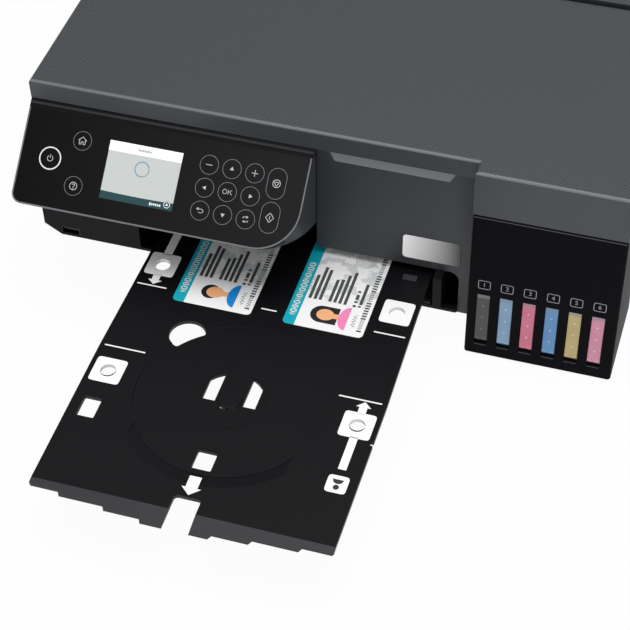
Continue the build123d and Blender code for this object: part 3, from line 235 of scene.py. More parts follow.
cover_surface = add_node(
    cover_tree,
    "ShaderNodeBump",
    {
        "Height": twill.outputs[0],
        "Distance": twill_relief,
        "Strength": 0.8,
        "Normal": cover_grain.outputs[0],
    },
)
end_material(
    cover_tree,
    add_node(
        cover_tree,
        "ShaderNodeBsdfPrincipled",
        {
            "Base Color": cover_colour.outputs[2],
            "Roughness": 0.42,
            "IOR": 1.53,
            "Normal": cover_surface.outputs[0],
        },
    ),
)
dress(cover_plastic, "printer_cover", "rear_top_cover", "paper_support")
# a painted highlight: the rounded front edge is painted paler than the faces beside it
lay_over(cover_plastic, "Normal", (0, -0.7071, 0.7071), 0.84, 0.99, "#6c6f73")


# ---------------------------------------------------------------- front cover and badge
# The front cover is smooth satin ABS, a shade greyer than the tub. The badge is a bare
# plate of silver-painted plastic, brushed along its length, pressed into its seat. Its
# tone fades from a painted highlight at its left end to painted shade at its right.
front_plastic = etched_plastic(
    "satin_grey_abs", "#35383c", "#3b3e43", 0.8 * mm, 0.015 * mm, 0.42
)
# painted shade: it is painted darker towards both ends and down the leg, and a painted dark line at its
# right end stands for the shadow in the seam
cover_low, cover_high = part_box("front_cover")
seam_shadow_width = 1.7 * mm
lay_over(front_plastic, "Object", (-1, 0, 0), -cover_low.x - 70 * mm, -cover_low.x, "#2a2d31")
lay_over(front_plastic, "Object", (1, 0, 0), cover_high.x - 16 * mm, cover_high.x, "#17181a")
lay_over(front_plastic, "Object", (0, 0, -1), -85 * mm, -40 * mm, "#212326")
lay_over(front_plastic, "Object", (1, 0, 0), cover_high.x - seam_shadow_width,
         cover_high.x - seam_shadow_width + 0.3 * mm, "#060607")
# a painted highlight: faces that lean upwards, such as the grip's slope, are painted paler
lay_over(front_plastic, "Normal", (0, 0, 1), 0.22, 0.3, "#777b7e")
lean = math.radians(5.35)
lean_up = Vector((0, math.sin(lean), math.cos(lean)))
lean_out = Vector((0, -math.cos(lean), math.sin(lean)))

# the grip's floor runs back from its lower edge to this depth at the cover's top
grip_floor = 1.0 * mm
grip_depth = 3.8 * mm
front_mesh = bmesh.new()
front_mesh.from_mesh(nodes["front_cover"].data)
bmesh.ops.remove_doubles(front_mesh, verts=front_mesh.verts, dist=0.002 * mm)
face_out = max(v.co.dot(lean_out) for v in front_mesh.verts)
cover_top = max(v.co.z for v in front_mesh.verts)
for vertex in front_mesh.verts:
    depth = face_out - vertex.co.dot(lean_out)
    if abs(depth - grip_floor) < 0.05 * mm and vertex.co.z > cover_top - 12 * mm:
        at_top = vertex.co.z > cover_top - 4 * mm
        vertex.co += lean_out * (depth - (grip_depth if at_top else 0))
bmesh.ops.remove_doubles(front_mesh, verts=front_mesh.verts, dist=0.02 * mm)
bmesh.ops.dissolve_degenerate(front_mesh, edges=front_mesh.edges, dist=0.005 * mm)
front_data = bpy.data.meshes.new("front_cover_ramped")
front_mesh.to_mesh(front_data)
front_mesh.free()
front_data.materials.append(front_plastic)
front_piece = bpy.data.objects.new("front_cover_ramped", front_data)
bpy.context.scene.collection.objects.link(front_piece)
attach(front_piece, "printer_body")
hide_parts("front_cover")

badge_paint, badge_tree = start_material("brushed_silver_paint")
badge_place = add_node(badge_tree, "ShaderNodeTexCoord").outputs["Object"]
badge_stretch = add_node(
    badge_tree, "ShaderNodeMapping", {"Vector": badge_place, "Scale": (60, 2500, 2500)}
)
badge_lines = add_node(
    badge_tree, "ShaderNodeTexNoise", {"Vector": badge_stretch.outputs[0], "Scale": 1.0}
)
badge_low, badge_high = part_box("badge_plate")
badge_along = add_node(badge_tree, "ShaderNodeSeparateXYZ", {0: badge_place})
# painted highlight and shade: the silver is painted bright at the left end and dark at the right
badge_highlight_fade = add_node(
    badge_tree,
    "ShaderNodeMapRange",
    {"Value": badge_along.outputs["X"], "From Min": badge_low.x, "From Max": badge_high.x},
)
badge_painted_highlight = add_node(
    badge_tree,
    "ShaderNodeMix",
    {"Factor": badge_highlight_fade.outputs[0], 6: linear("#ffffff"), 7: linear("#2e3032")},
    data_type="RGBA",
)
badge_bump = add_node(
    badge_tree,
    "ShaderNodeBump",
    {"Height": badge_lines.outputs["Fac"], "Distance": 0.02 * mm, "Strength": 0.5},
)
end_material(
    badge_tree,
    add_node(
        badge_tree,
        "ShaderNodeBsdfPrincipled",
        {
            "Base Color": badge_painted_highlight.outputs[2],
            "Roughness": 0.32,
            "Normal": badge_bump.outputs[0],
        },
    ),
)
dress(badge_paint, "badge_plate")


# ---------------------------------------------------------------- metal parts
# The host port's shell is nickel, painted dark as painted shade for the shade in its
# opening. The chassis, motors, screws and shafts are zinc plated steel, with the faint
# spangle and brushing of rolled sheet.
def plated_metal(name, dark, pale, roughness):
    """Plated steel with rolling marks along X and soft cloudy patches."""
    material, tree = start_material(name)
    place = add_node(tree, "ShaderNodeTexCoord").outputs["Object"]
    stretch = add_node(
        tree, "ShaderNodeMapping", {"Vector": place, "Scale": (40, 1800, 1800)}
    )
    marks = add_node(
        tree, "ShaderNodeTexNoise", {"Vector": stretch.outputs[0], "Scale": 1.0, "Detail": 2.0}
    )
    clouds = add_node(
        tree, "ShaderNodeTexNoise", {"Vector": place, "Scale": 1 / (9 * mm), "Detail": 3.0}
    )
    colour = add_node(
        tree,
        "ShaderNodeMix",
        {"Factor": clouds.outputs["Fac"], 6: linear(dark), 7: linear(pale)},
        data_type="RGBA",
    )
    polish = add_node(
        tree,
        "ShaderNodeMapRange",
        {
            "Value": marks.outputs["Fac"],
            "To Min": roughness - 0.08,
            "To Max": roughness + 0.08,
        },
    )
    shader = add_node(
        tree,
        "ShaderNodeBsdfPrincipled",
        {"Base Color": colour.outputs[2], "Roughness": polish.outputs[0], "Metallic": 1.0},
    )
    end_material(tree, shader)
    return material


# the port's nickel is painted dark, as painted shade
nickel = plated_metal("dull_nickel", "#3a3b3d", "#525356", 0.35)
zinc = plated_metal("zinc_plated_steel", "#8d9092", "#b4b7b9", 0.36)
dress(nickel, "usb_host_port")
dress(zinc, "chassis", "drive_motors", "case_screws", "cover_hinge_pins", "drive_pulley",
      "idler_pulley")


# ---------------------------------------------------------------- control panel
# A tilting box: grey ABS behind, a gloss black film-covered face in front, and a thin
# silver edge between them. The face's black runs on over the rounded top of the box.
panel_joint = joints["control_panel_hinge"]
face_normal = -Vector(joints["button_ok_press"]["axis"])
face_offset = 4.0 * mm
panel_up = face_normal.cross(Vector((1, 0, 0)))
panel_hinge = Vector((0, panel_joint["pos_m"][1], panel_joint["pos_m"][2]))
panel_place = Matrix.Identity(4)
for axis, direction in enumerate((Vector((1, 0, 0)), panel_up, face_normal)):
    panel_place.col[axis][:3] = direction
panel_place.translation = panel_hinge + face_normal * face_offset

housing_plastic, housing_tree = start_material("grey_abs_with_black_front")
housing_point = add_node(housing_tree, "ShaderNodeTexCoord").outputs["Object"]
from_hinge = add_node(
    housing_tree,
    "ShaderNodeVectorMath",
    {0: housing_point, 1: panel_hinge},
    operation="SUBTRACT",
)
height_over = add_node(
    housing_tree,
    "ShaderNodeVectorMath",
    {0: from_hinge.outputs[0], 1: face_normal},
    operation="DOT_PRODUCT",
)
black_part = add_node(
    housing_tree,
    "ShaderNodeMath",
    {0: height_over.outputs["Value"], 1: 2.2 * mm},
    operation="GREATER_THAN",
)
housing_grain = add_node(
    housing_tree, "ShaderNodeTexNoise", {"Vector": housing_point, "Scale": 1 / (0.7 * mm)}
)
housing_grey = add_node(
    housing_tree,
    "ShaderNodeMix",
    {"Factor": housing_grain.outputs["Fac"], 6: linear("#404348"), 7: linear("#484b50")},
    data_type="RGBA",
)
housing_colour = add_node(
    housing_tree,
    "ShaderNodeMix",
    {"Factor": black_part.outputs[0], 6: housing_grey.outputs[2], 7: linear("#09090a")},
    data_type="RGBA",
)
# a painted highlight: a paler line runs along the rounded top, where it comes out from under the cover
along_panel = add_node(
    housing_tree,
    "ShaderNodeVectorMath",
    {0: from_hinge.outputs[0], 1: panel_up},
    operation="DOT_PRODUCT",
)
top_highlight_line = add_node(
    housing_tree,
    "ShaderNodeMath",
    {0: along_panel.outputs["Value"], 1: -1.3 * mm, 2: 0.8 * mm},
    operation="COMPARE",
)
housing_highlighted = add_node(
    housing_tree,
    "ShaderNodeMix",
    {"Factor": top_highlight_line.outputs[0], 6: housing_colour.outputs[2], 7: linear("#313336")},
    data_type="RGBA",
)
housing_bump = add_node(
    housing_tree,
    "ShaderNodeBump",
    {"Height": housing_grain.outputs["Fac"], "Distance": 0.02 * mm, "Strength": 0.4},
)
end_material(
    housing_tree,
    add_node(
        housing_tree,
        "ShaderNodeBsdfPrincipled",
        {
            "Base Color": housing_highlighted.outputs[2],
            "Roughness": 0.42,
            "IOR": 1.53,
            "Specular IOR Level": 0.15,
            "Normal": housing_bump.outputs[0],
        },
    ),
)
dress(housing_plastic, "control_panel_housing")


def smooth_plastic(name, colour, pale, patch, roughness, coat=0.0, shine=0.5):
    """Smooth plastic or ink with barely cloudy colour and an uneven shine."""
    material, tree = start_material(name)
    place = add_node(tree, "ShaderNodeTexCoord").outputs["Object"]
    clouds = add_node(
        tree, "ShaderNodeTexNoise", {"Vector": place, "Scale": 1 / patch, "Detail": 3.0}
    )
    tone = add_node(
        tree,
        "ShaderNodeMix",
        {"Factor": clouds.outputs["Fac"], 6: linear(colour), 7: linear(pale)},
        data_type="RGBA",
    )
    polish = add_node(
        tree,
        "ShaderNodeMapRange",
        {
            "Value": clouds.outputs["Fac"],
            "To Min": roughness - 0.04,
            "To Max": roughness + 0.04,
        },
    )
    shader = add_node(
        tree,
        "ShaderNodeBsdfPrincipled",
        {
            "Base Color": tone.outputs[2],
            "Roughness": polish.outputs[0],
            "IOR": 1.49,
            "Specular IOR Level": shine,
            "Coat Weight": coat,
            "Coat Roughness": 0.08,
        },
    )
    end_material(tree, shader)
    return material


# the trim is silver on its front edge and for a little way down its sides
edge_paint, edge_tree = start_material("silver_edge_paint")
edge_point = add_node(edge_tree, "ShaderNodeTexCoord").outputs["Object"]
edge_from_hinge = add_node(
    edge_tree, "ShaderNodeVectorMath", {0: edge_point, 1: panel_hinge}, operation="SUBTRACT"
)
edge_height = add_node(
    edge_tree,
    "ShaderNodeVectorMath",
    {0: edge_from_hinge.outputs[0], 1: face_normal},
    operation="DOT_PRODUCT",
)
painted = add_node(
    edge_tree,
    "ShaderNodeMath",
    {0: edge_height.outputs["Value"], 1: face_offset - 0.12 * mm},
    operation="GREATER_THAN",
)
edge_patches = add_node(
    edge_tree, "ShaderNodeTexNoise", {"Vector": edge_point, "Scale": 1 / (20 * mm)}
)
edge_silver = add_node(
    edge_tree,
    "ShaderNodeMix",
    {"Factor": edge_patches.outputs["Fac"], 6: linear("#646668"), 7: linear("#747679")},
    data_type="RGBA",
)
edge_colour = add_node(
    edge_tree,
    "ShaderNodeMix",
    {"Factor": painted.outputs[0], 6: linear("#17181a"), 7: edge_silver.outputs[2]},
    data_type="RGBA",
)
end_material(
    edge_tree,
    add_node(
        edge_tree,
        "ShaderNodeBsdfPrincipled",
        {"Base Color": edge_colour.outputs[2], "Roughness": 0.36},
    ),
)

key_names = ("power", "home", "help", "minus", "up", "plus", "left", "ok", "right", "back",
             "down", "swap", "stop", "start")
black_film = smooth_plastic("black_gloss_film", "#060607", "#09090a", 60 * mm, 0.26, shine=0.16)
circuit_green = smooth_plastic("green_solder_resist", "#15402a", "#1b4f34", 12 * mm, 0.3, 0.4)
panel_low, panel_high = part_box("control_panel_face")
# painted light: the black film and keys are painted paler towards the right end, and darker towards the
# left as painted shade
lay_over(black_film, "Object", (1, 0, 0), panel_low.x, panel_high.x, "#1e1e20")
dress(black_film, "control_panel_face", *["button_" + key for key in key_names])
dress(edge_paint, "control_panel_trim")
dress(circuit_green, "control_panel_board")

# the main board is green too, but for the plated shell of its port at the rear wall
board_resist = smooth_plastic("green_board_and_port", "#15402a", "#1b4f34", 12 * mm, 0.3, 0.4)
port_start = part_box("main_board")[1].y - 12 * mm
lay_over(board_resist, "Object", (0, 1, 0), port_start, port_start + 0.1 * mm, "#8f9194")
dress(board_resist, "main_board")


# ---------------------------------------------------------------- key prints
# The keys carry screen-printed outlines and symbols in pale grey. The ring round the
# power key is a white light pipe. Each print is a coat of ink on its own key.
print_thick = 0.06 * mm


def local_box(node, place):
    """Lowest and highest corners of a CAD node in the coordinates of a place."""
    inverse = place.inverted()
    points = [inverse @ vertex.co for vertex in nodes[node].data.vertices]
    low = Vector([min(point[i] for point in points) for i in range(3)])
    high = Vector([max(point[i] for point in points) for i in range(3)])
    return low, high


def add_bar(mesh, place, start, end, width, height=print_thick):
    """A flat bar from start to end, standing on the place's XY plane."""
    run = Vector(end) - Vector(start)
    middle = (Vector(start) + Vector(end)) / 2
    turn = Matrix.Rotation(math.atan2(run.y, run.x), 4, "Z")
    size = Matrix.Diagonal((run.length, width, height, 1))
    lift = Matrix.Translation((middle.x, middle.y, height / 2))
    bmesh.ops.create_cube(mesh, size=1, matrix=place @ lift @ turn @ size)


def add_disc(mesh, place, centre, radius, segments=32, height=print_thick, turn=0.0):
    """A flat disc, or with few segments a regular polygon with a corner at turn."""
    lift = Matrix.Translation((centre[0], centre[1], height / 2))
    spun = Matrix.Rotation(turn - math.radians(90), 4, "Z")
    bmesh.ops.create_cone(
        mesh, cap_ends=True, segments=segments, radius1=radius, radius2=radius,
        depth=height, matrix=place @ lift @ spun,
    )


def add_ring(mesh, place, centre, outer, width, start=0.0, sweep=360.0,
             height=print_thick, oblong=0.0):
    """A flat ring or arc. With oblong, its two halves stand that far apart in Y."""
    profile = [(outer, 0), (outer, height), (outer - width, height), (outer - width, 0)]
    corners = [mesh.verts.new((r, 0, z)) for r, z in profile]
    loop = [mesh.edges.new((corners[i], corners[(i + 1) % 4])) for i in range(4)]
    closed = abs(sweep - 360) < 0.01
    bmesh.ops.rotate(
        mesh, verts=corners, cent=(0, 0, 0), matrix=Matrix.Rotation(math.radians(start), 3, "Z")
    )
    before = set(mesh.verts)
    bmesh.ops.spin(
        mesh, geom=corners + loop, cent=(0, 0, 0), axis=(0, 0, 1),
        angle=math.radians(sweep), steps=max(6, round(abs(sweep) / 7.5)), use_merge=closed,
    )
    made = [v for v in mesh.verts if v not in before or v in corners]
    if not closed:
        ends = [e for e in mesh.edges if e.is_boundary and e.verts[0] in made]
        bmesh.ops.holes_fill(mesh, edges=ends, sides=4)
    for vertex in made:
        if vertex.co.y > 1e-7:
            vertex.co.y += oblong / 2
        elif vertex.co.y < -1e-7:
            vertex.co.y -= oblong / 2
    if oblong:
        for vertex in [v for v in made if abs(v.co.y) <= 1e-7]:
            vertex.co.y += oblong / 2
    bmesh.ops.transform(
        mesh, verts=made, matrix=place @ Matrix.Translation((centre[0], centre[1], 0))
    )


def finish_piece(name, mesh, material, body):
    """Turns a bmesh into an object at the origin that rides on a body."""
    bmesh.ops.remove_doubles(mesh, verts=mesh.verts, dist=1e-7)
    bmesh.ops.recalc_face_normals(mesh, faces=mesh.faces)
    data = bpy.data.meshes.new(name)
    mesh.to_mesh(data)
    mesh.free()
    data.materials.append(material)
    piece = bpy.data.objects.new(name, data)
    bpy.context.scene.collection.objects.link(piece)
    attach(piece, body)
    return piece


def add_text(mesh, place, words, size, centre):
    """Plain sans-serif characters, centred on a point, as flat solids."""
    curve = bpy.data.curves.new("characters", "FONT")
    curve.body = words
    curve.size = size
    curve.align_x = "CENTER"
    curve.align_y = "CENTER"
    curve.extrude = print_thick / 2
    text = bpy.data.objects.new("characters", curve)
    bpy.context.scene.collection.objects.link(text)
    bpy.context.view_layer.update()
    shape = bpy.data.meshes.new_from_object(text)
    shape.transform(place @ Matrix.Translation((centre[0], centre[1], print_thick / 2)))
    mesh.from_mesh(shape)
    bpy.data.objects.remove(text)
    bpy.data.meshes.remove(shape)


def add_strokes(mesh, place, points, width, closed=False):
    """A line of bars through points, with round joints."""
    path = list(points) + (list(points[:1]) if closed else [])
    for start, end in zip(path, path[1:]):
        add_bar(mesh, place, (*start, 0), (*end, 0), width)
    for point in points:
        add_disc(mesh, place, point, width / 2, 12)


outline_ink = smooth_plastic("grey_outline_ink", "#737477", "#7e7f82", 5 * mm, 0.45)
symbol_ink = smooth_plastic("pale_symbol_ink", "#b9babb", "#c6c7c8", 5 * mm, 0.45)
light_pipe, pipe_tree = start_material("white_light_pipe")
end_material(
    pipe_tree,
    add_node(
        pipe_tree,
        "ShaderNodeBsdfPrincipled",
        {
            "Base Color": linear("#d9dadb"),
            "Emission Color": linear("#ffffff"),
            "Emission Strength": 0.1,
            "Roughness": 0.5,
        },
    ),
)
outline_width = 0.34 * mm
line_width = 0.42 * mm


def add_symbol(mesh, place, key):
    """The symbol of one key, in millimetres about the key's middle."""
    def at(x, y):
        return (x * mm, y * mm)

    stroke = 0.34 * mm
    if key == "power":
        add_ring(mesh, place, (0, 0), 2.1 * mm, line_width, 125, 290)
        add_strokes(mesh, place, [at(0, 0.3), at(0, 2.6)], line_width)
    elif key == "home":
        roof = [at(-2.9, 0.1), at(0, 2.7), at(2.9, 0.1)]
        walls = [at(-2.0, 0.5), at(-2.0, -2.3), at(-0.7, -2.3), at(-0.7, -0.6),
                 at(0.7, -0.6), at(0.7, -2.3), at(2.0, -2.3), at(2.0, 0.5)]
        add_strokes(mesh, place, roof, line_width)
        add_strokes(mesh, place, walls, line_width)
    elif key == "help":
        add_ring(mesh, place, (0, 0), 2.7 * mm, line_width)
        add_ring(mesh, place, at(0, 0.6), 1.1 * mm, line_width, -60, 240)
        add_strokes(mesh, place, [at(0.3, -0.1), at(0, -0.9)], line_width)
        add_disc(mesh, place, at(0, -1.7), 0.3 * mm, 12)
    elif key in ("minus", "plus"):
        add_bar(mesh, place, (*at(-2.2, 0), 0), (*at(2.2, 0), 0), line_width)
        if key == "plus":
            add_bar(mesh, place, (*at(0, -2.2), 0), (*at(0, 2.2), 0), line_width)
    elif key in ("up", "down", "left", "right"):
        turn = {"right": 0, "up": 90, "left": 180, "down": 270}[key]
        add_disc(mesh, place, at(0, 0), 1.6 * mm, 3, turn=math.radians(turn))
    elif key == "ok":
        add_ring(mesh, place, at(-1.75, 0), 1.6 * mm, stroke)
        add_strokes(mesh, place, [at(0.65, -1.5), at(0.65, 1.5)], stroke)
        add_strokes(mesh, place, [at(2.9, 1.5), at(0.75, -0.2)], stroke)
        add_strokes(mesh, place, [at(1.5, 0.5), at(3.1, -1.5)], stroke)
    elif key == "back":
        add_strokes(mesh, place, [at(-1.7, 1.0), at(0.9, 1.0)], line_width)
        add_ring(mesh, place, at(0.9, -0.2), 1.4 * mm, line_width, -90, 180)
        add_strokes(mesh, place, [at(0.9, -1.4), at(-0.7, -1.4)], line_width)
        add_disc(mesh, place, at(-1.7, 1.0), 1.15 * mm, 3, turn=math.pi)
    elif key == "swap":
        for side in (1, -1):
            add_strokes(
                mesh, place,
                [at(-1.7 * side, 0.5 * side), at(-1.7 * side, 1.5 * side), at(0.4 * side, 1.5 * side)],
                line_width,
            )
            tip = 0 if side > 0 else math.pi
            add_disc(mesh, place, at(0.9 * side, 1.5 * side), 0.95 * mm, 3, turn=tip)
    elif key == "stop":
        add_ring(mesh, place, (0, 0), 2.7 * mm, line_width)
        corners = [at(1.9 * math.cos(a), 1.9 * math.sin(a))
                   for a in (math.radians(30), math.radians(150), math.radians(270))]
        add_strokes(mesh, place, corners, line_width, closed=True)
    elif key == "start":
        add_strokes(mesh, place, [at(0, 3.1), at(2.7, 0), at(0, -3.1), at(-2.7, 0)],
                    line_width, closed=True)
        add_bar(mesh, place, (*at(0, -1.2), 0), (*at(0, 1.2), 0), line_width)


key_centre = {}
for key in key_names:
    low, high = local_box("button_" + key, panel_place)
    key_centre[key] = (low + high) / 2
    flange = 0.8 * mm
    radius = (high.x - low.x) / 2 - flange
    oblong = (high.y - low.y) - (high.x - low.x)
    place = panel_place @ Matrix.Translation((key_centre[key].x, key_centre[key].y, high.z))
    outline = bmesh.new()
    if key == "power":
        add_ring(outline, place, (0, 0), radius, 0.85 * mm)
        finish_piece("power_light_ring", outline, light_pipe, "button_power")
    else:
        add_ring(outline, place, (0, 0), radius, outline_width, oblong=oblong)
        finish_piece("outline_" + key, outline, outline_ink, "button_" + key)
    symbol = bmesh.new()
    add_symbol(symbol, place, key)
    finish_piece("symbol_" + key, symbol, symbol_ink, "button_" + key)


# ---------------------------------------------------------------- display
# A small lit liquid crystal screen behind the face's window: a white header, a pale
# field with a turning-circle sign, and a teal footer. Bars stand where words would be.
screen_low, screen_high = local_box("lcd_module", panel_place)
bezel = 2.5 * mm
window_low = screen_low + Vector((bezel, bezel, 0))
window_high = screen_high - Vector((bezel, bezel, 0))
window_size = window_high - window_low
screen_place = panel_place @ Matrix.Translation((window_low.x, window_low.y, screen_high.z))


def lit_screen(name, colour, glow):
    """A patch of a lit screen, in one even colour that glows a little."""
    material, tree = start_material(name)
    place = add_node(tree, "ShaderNodeTexCoord").outputs["Object"]
    grid = add_node(tree, "ShaderNodeTexNoise", {"Vector": place, "Scale": 1 / (0.3 * mm)})
    tone = add_node(
        tree,
        "ShaderNodeMix",
        {"Factor": grid.outputs["Fac"], 6: linear(colour), 7: linear(colour)},
        data_type="RGBA",
    )
    shader = add_node(
        tree,
        "ShaderNodeBsdfPrincipled",
        {
            "Base Color": tone.outputs[2],
            "Roughness": 0.3,
            "Emission Color": linear(colour),
            "Emission Strength": glow,
        },
    )
    end_material(tree, shader)
    return material


def on_screen(across, down):
    """A point of the window, as parts of its width and height from the top left."""
    return (across * window_size.x, (1 - down) * window_size.y)


screen_field = lit_screen("screen_pale_field", "#bfc4c2", 0.1)
screen_white = lit_screen("screen_white", "#f4f5f5", 0.2)
screen_teal = lit_screen("screen_teal", "#1d434a", 0.06)
screen_blue = lit_screen("screen_blue", "#4b86a6", 0.1)
screen_grey = lit_screen("screen_grey", "#8b8f90", 0.1)
dress(screen_field, "lcd_module")

screen_film = 0.03 * mm
header_share = 0.172
footer_share = 0.135
header = bmesh.new()
header_middle = on_screen(0, header_share / 2)[1]
add_bar(header, screen_place, (0, header_middle, 0), (window_size.x, header_middle, 0),
        header_share * window_size.y, screen_film)
finish_piece("screen_header", header, screen_white, "control_panel")

footer = bmesh.new()
footer_steps = 12
sag = 0.012
edge = [footer.verts.new((
    i / footer_steps * window_size.x,
    (footer_share - 4 * sag * (i / footer_steps) * (1 - i / footer_steps)) * window_size.y,
    0)) for i in range(footer_steps + 1)]
base = [footer.verts.new((v.co.x, 0, 0)) for v in edge]
for i in range(footer_steps):
    footer.faces.new((base[i], base[i + 1], edge[i + 1], edge[i]))
lifted = bmesh.ops.extrude_face_region(footer, geom=footer.faces[:])
bmesh.ops.translate(
    footer, vec=(0, 0, screen_film),
    verts=[v for v in lifted["geom"] if isinstance(v, bmesh.types.BMVert)],
)
bmesh.ops.transform(footer, verts=footer.verts, matrix=screen_place)
finish_piece("screen_footer", footer, screen_teal, "control_panel")

circle = bmesh.new()
add_ring(circle, screen_place, on_screen(0.496, 0.40), 5.1 * mm, 0.6 * mm, 20, 250, 0.04 * mm)
finish_piece("screen_progress_arc", circle, screen_blue, "control_panel")
circle_rest = bmesh.new()
add_ring(circle_rest, screen_place, on_screen(0.496, 0.40), 5.1 * mm, 0.6 * mm, 272, 106,
         0.04 * mm)
finish_piece("screen_progress_rest", circle_rest, screen_grey, "control_panel")

title = bmesh.new()
title_place = screen_place @ Matrix.Translation((0, 0, screen_film))
for block in range(9):
    start = 0.40 + block * 0.0205
    level = 0.083 + (0.008 if block % 3 else 0)
    add_bar(title, title_place, (*on_screen(start, level), 0), (*on_screen(start + 0.013, level), 0),
            (1.5 if block % 3 else 2.0) * mm, screen_film)
finish_piece("screen_title_bars", title, screen_grey, "control_panel")
action = bmesh.new()
for block in range(6):
    start = 0.685 + block * 0.027
    add_bar(action, title_place, (*on_screen(start, 0.94), 0), (*on_screen(start + 0.016, 0.94), 0),
            (1.4 if block else 2.0) * mm, screen_film)
finish_piece("screen_action_bar", action, screen_white, "control_panel")
badge_place = screen_place @ Matrix.Translation((*on_screen(0.918, 0.905), 0))
key_sign = bmesh.new()
add_disc(key_sign, badge_place, (0, 0), 2.5 * mm, 40, 0.05 * mm)
finish_piece("screen_key_sign", key_sign, screen_teal, "control_panel")
key_sign_ring = bmesh.new()
add_ring(key_sign_ring, badge_place, (0, 0), 2.2 * mm, 0.35 * mm, height=0.08 * mm)
add_disc(key_sign_ring, badge_place, (0, 0), 1.1 * mm, 3, 0.08 * mm, math.radians(90))
finish_piece("screen_key_ring", key_sign_ring, screen_white, "control_panel")


# ---------------------------------------------------------------- disc tray
# A flat tray moulded in black ABS with a fine grain. White pads, lines and arrows are
# painted on it, for the printer's sensor and for the person who loads it.
tray_plastic = etched_plastic(
    "black_tray_abs", "#0b0a0d", "#0f0e12", 0.5 * mm, 0.03 * mm, 0.4, 0.12
)
# a painted highlight: faces that look to the front, such as the lip, are painted paler
lay_over(tray_plastic, "Normal", (0, -1, 0), 0.03, 0.08, "#343437")
dress(tray_plastic, "disc_tray")

tray_low, tray_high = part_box("disc_tray")
card_low, card_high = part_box("id_cards")
tray_surface = card_high.z + 0.04 * mm
lip_to_disc = 104.4 * mm
disc_place = Matrix.Translation(
    ((tray_low.x + tray_high.x) / 2, tray_low.y + lip_to_disc, tray_surface)
)
paint_thick = 0.08 * mm
mark_paint = smooth_plastic("white_mark_paint", "#fafafa", "#ffffff", 8 * mm, 0.55)
pad_hole_radius = 5.25 * mm
tray_thick = 2.8 * mm


def add_pad(mesh, place, centre, half, hole=0.0, depth=0.0, corner=12.0):
    """A rounded square coat of paint. A hole in it is lined down to a depth."""
    steps = 72
    bed = place @ Matrix.Translation((centre[0], centre[1], 0))
    rim = bmesh.ops.create_circle(mesh, segments=steps, radius=half)["verts"]
    for vertex in rim:
        angle = math.atan2(vertex.co.y, vertex.co.x)
        reach = (abs(math.cos(angle)) ** corner + abs(math.sin(angle)) ** corner) ** (-1 / corner)
        vertex.co *= reach
    rim_edges = list({e for v in rim for e in v.link_edges})
    if hole:
        inner = bmesh.ops.create_circle(mesh, segments=steps, radius=hole)["verts"]
        inner_edges = list({e for v in inner for e in v.link_edges})
        sheet = bmesh.ops.bridge_loops(mesh, edges=rim_edges + inner_edges)["faces"]
    else:
        sheet = [mesh.faces.new(rim)]
    lifted = bmesh.ops.extrude_face_region(mesh, geom=sheet)
    top = [v for v in lifted["geom"] if isinstance(v, bmesh.types.BMVert)]
    bmesh.ops.translate(mesh, verts=top, vec=(0, 0, paint_thick))
    everything = set(rim) | set(top) | (set(inner) if hole else set())
    if hole and depth:
        add_ring(mesh, bed @ Matrix.Translation((0, 0, -depth)), (0, 0), hole,
                 0.1 * mm, height=depth + paint_thick)
    bmesh.ops.transform(mesh, verts=list(everything), matrix=bed)


marks = bmesh.new()


def tray_mark(points_mm, width):
    """A painted line between two points, in millimetres from the disc's centre."""
    (x0, y0), (x1, y1) = points_mm
    add_bar(marks, disc_place, (x0 * mm, y0 * mm, 0), (x1 * mm, y1 * mm, 0), width * mm,
            paint_thick)


def tray_arrow(tip, direction, half_width, length):
    """A painted arrow head in millimetres; direction is 1 towards the back."""
    head = [marks.verts.new((x * mm, y * mm, 0)) for x, y in (
        tip,
        (tip[0] - half_width, tip[1] - direction * length),
        (tip[0] + half_width, tip[1] - direction * length),
    )]
    face = marks.faces.new(head)
    lifted = bmesh.ops.extrude_face_region(marks, geom=[face])
    top = [v for v in lifted["geom"] if isinstance(v, bmesh.types.BMVert)]
    bmesh.ops.translate(marks, verts=top, vec=(0, 0, paint_thick))
    bmesh.ops.transform(marks, verts=head + top, matrix=disc_place)


# four pads with sensor holes
for centre in ((-81.6, 99.7), (80.8, 99.0), (-82.3, 1.6), (82.35, 0.7)):
    add_pad(marks, disc_place, (centre[0] * mm, centre[1] * mm), 10.2 * mm,
            pad_hole_radius, tray_thick)
# lines across
tray_mark(((-92.1, 79.5), (-71.6, 79.5)), 1.0)
tray_mark(((-5.5, 79.1), (4.9, 79.1)), 1.0)
tray_mark(((70.8, 79.0), (91.5, 79.0)), 1.0)
tray_mark(((-92.5, 21.9), (-64.8, 21.9)), 1.0)
tray_mark(((64.6, 21.2), (92.5, 21.2)), 1.0)
# arrow at the back left, its stem running in under the panel
tray_mark(((-81.7, 109.0), (-81.7, 172.0)), 5.8)
tray_mark(((-81.7, 90.5), (-81.7, 85.1)), 5.0)
tray_arrow((-81.7, 81.1), -1, 4.8, 3.9)
# arrow at the front right, with its sign
tray_arrow((82.1, 20.0), 1, 4.9, 4.4)
tray_mark(((82.1, 15.5), (82.1, 9.5)), 5.2)
tray_mark(((83.1, -8.8), (83.1, -35.0)), 5.2)
add_pad(marks, disc_place, (83.4 * mm, -46.5 * mm), 6.6 * mm, corner=7.0)
# arrow at the middle of the front
tray_arrow((0.3, -78.4), -1, 6.2, 5.6)
tray_mark(((0.3, -72.7), (0.3, -64.0)), 7.6)
finish_piece("tray_marks", marks, mark_paint, "disc_tray")

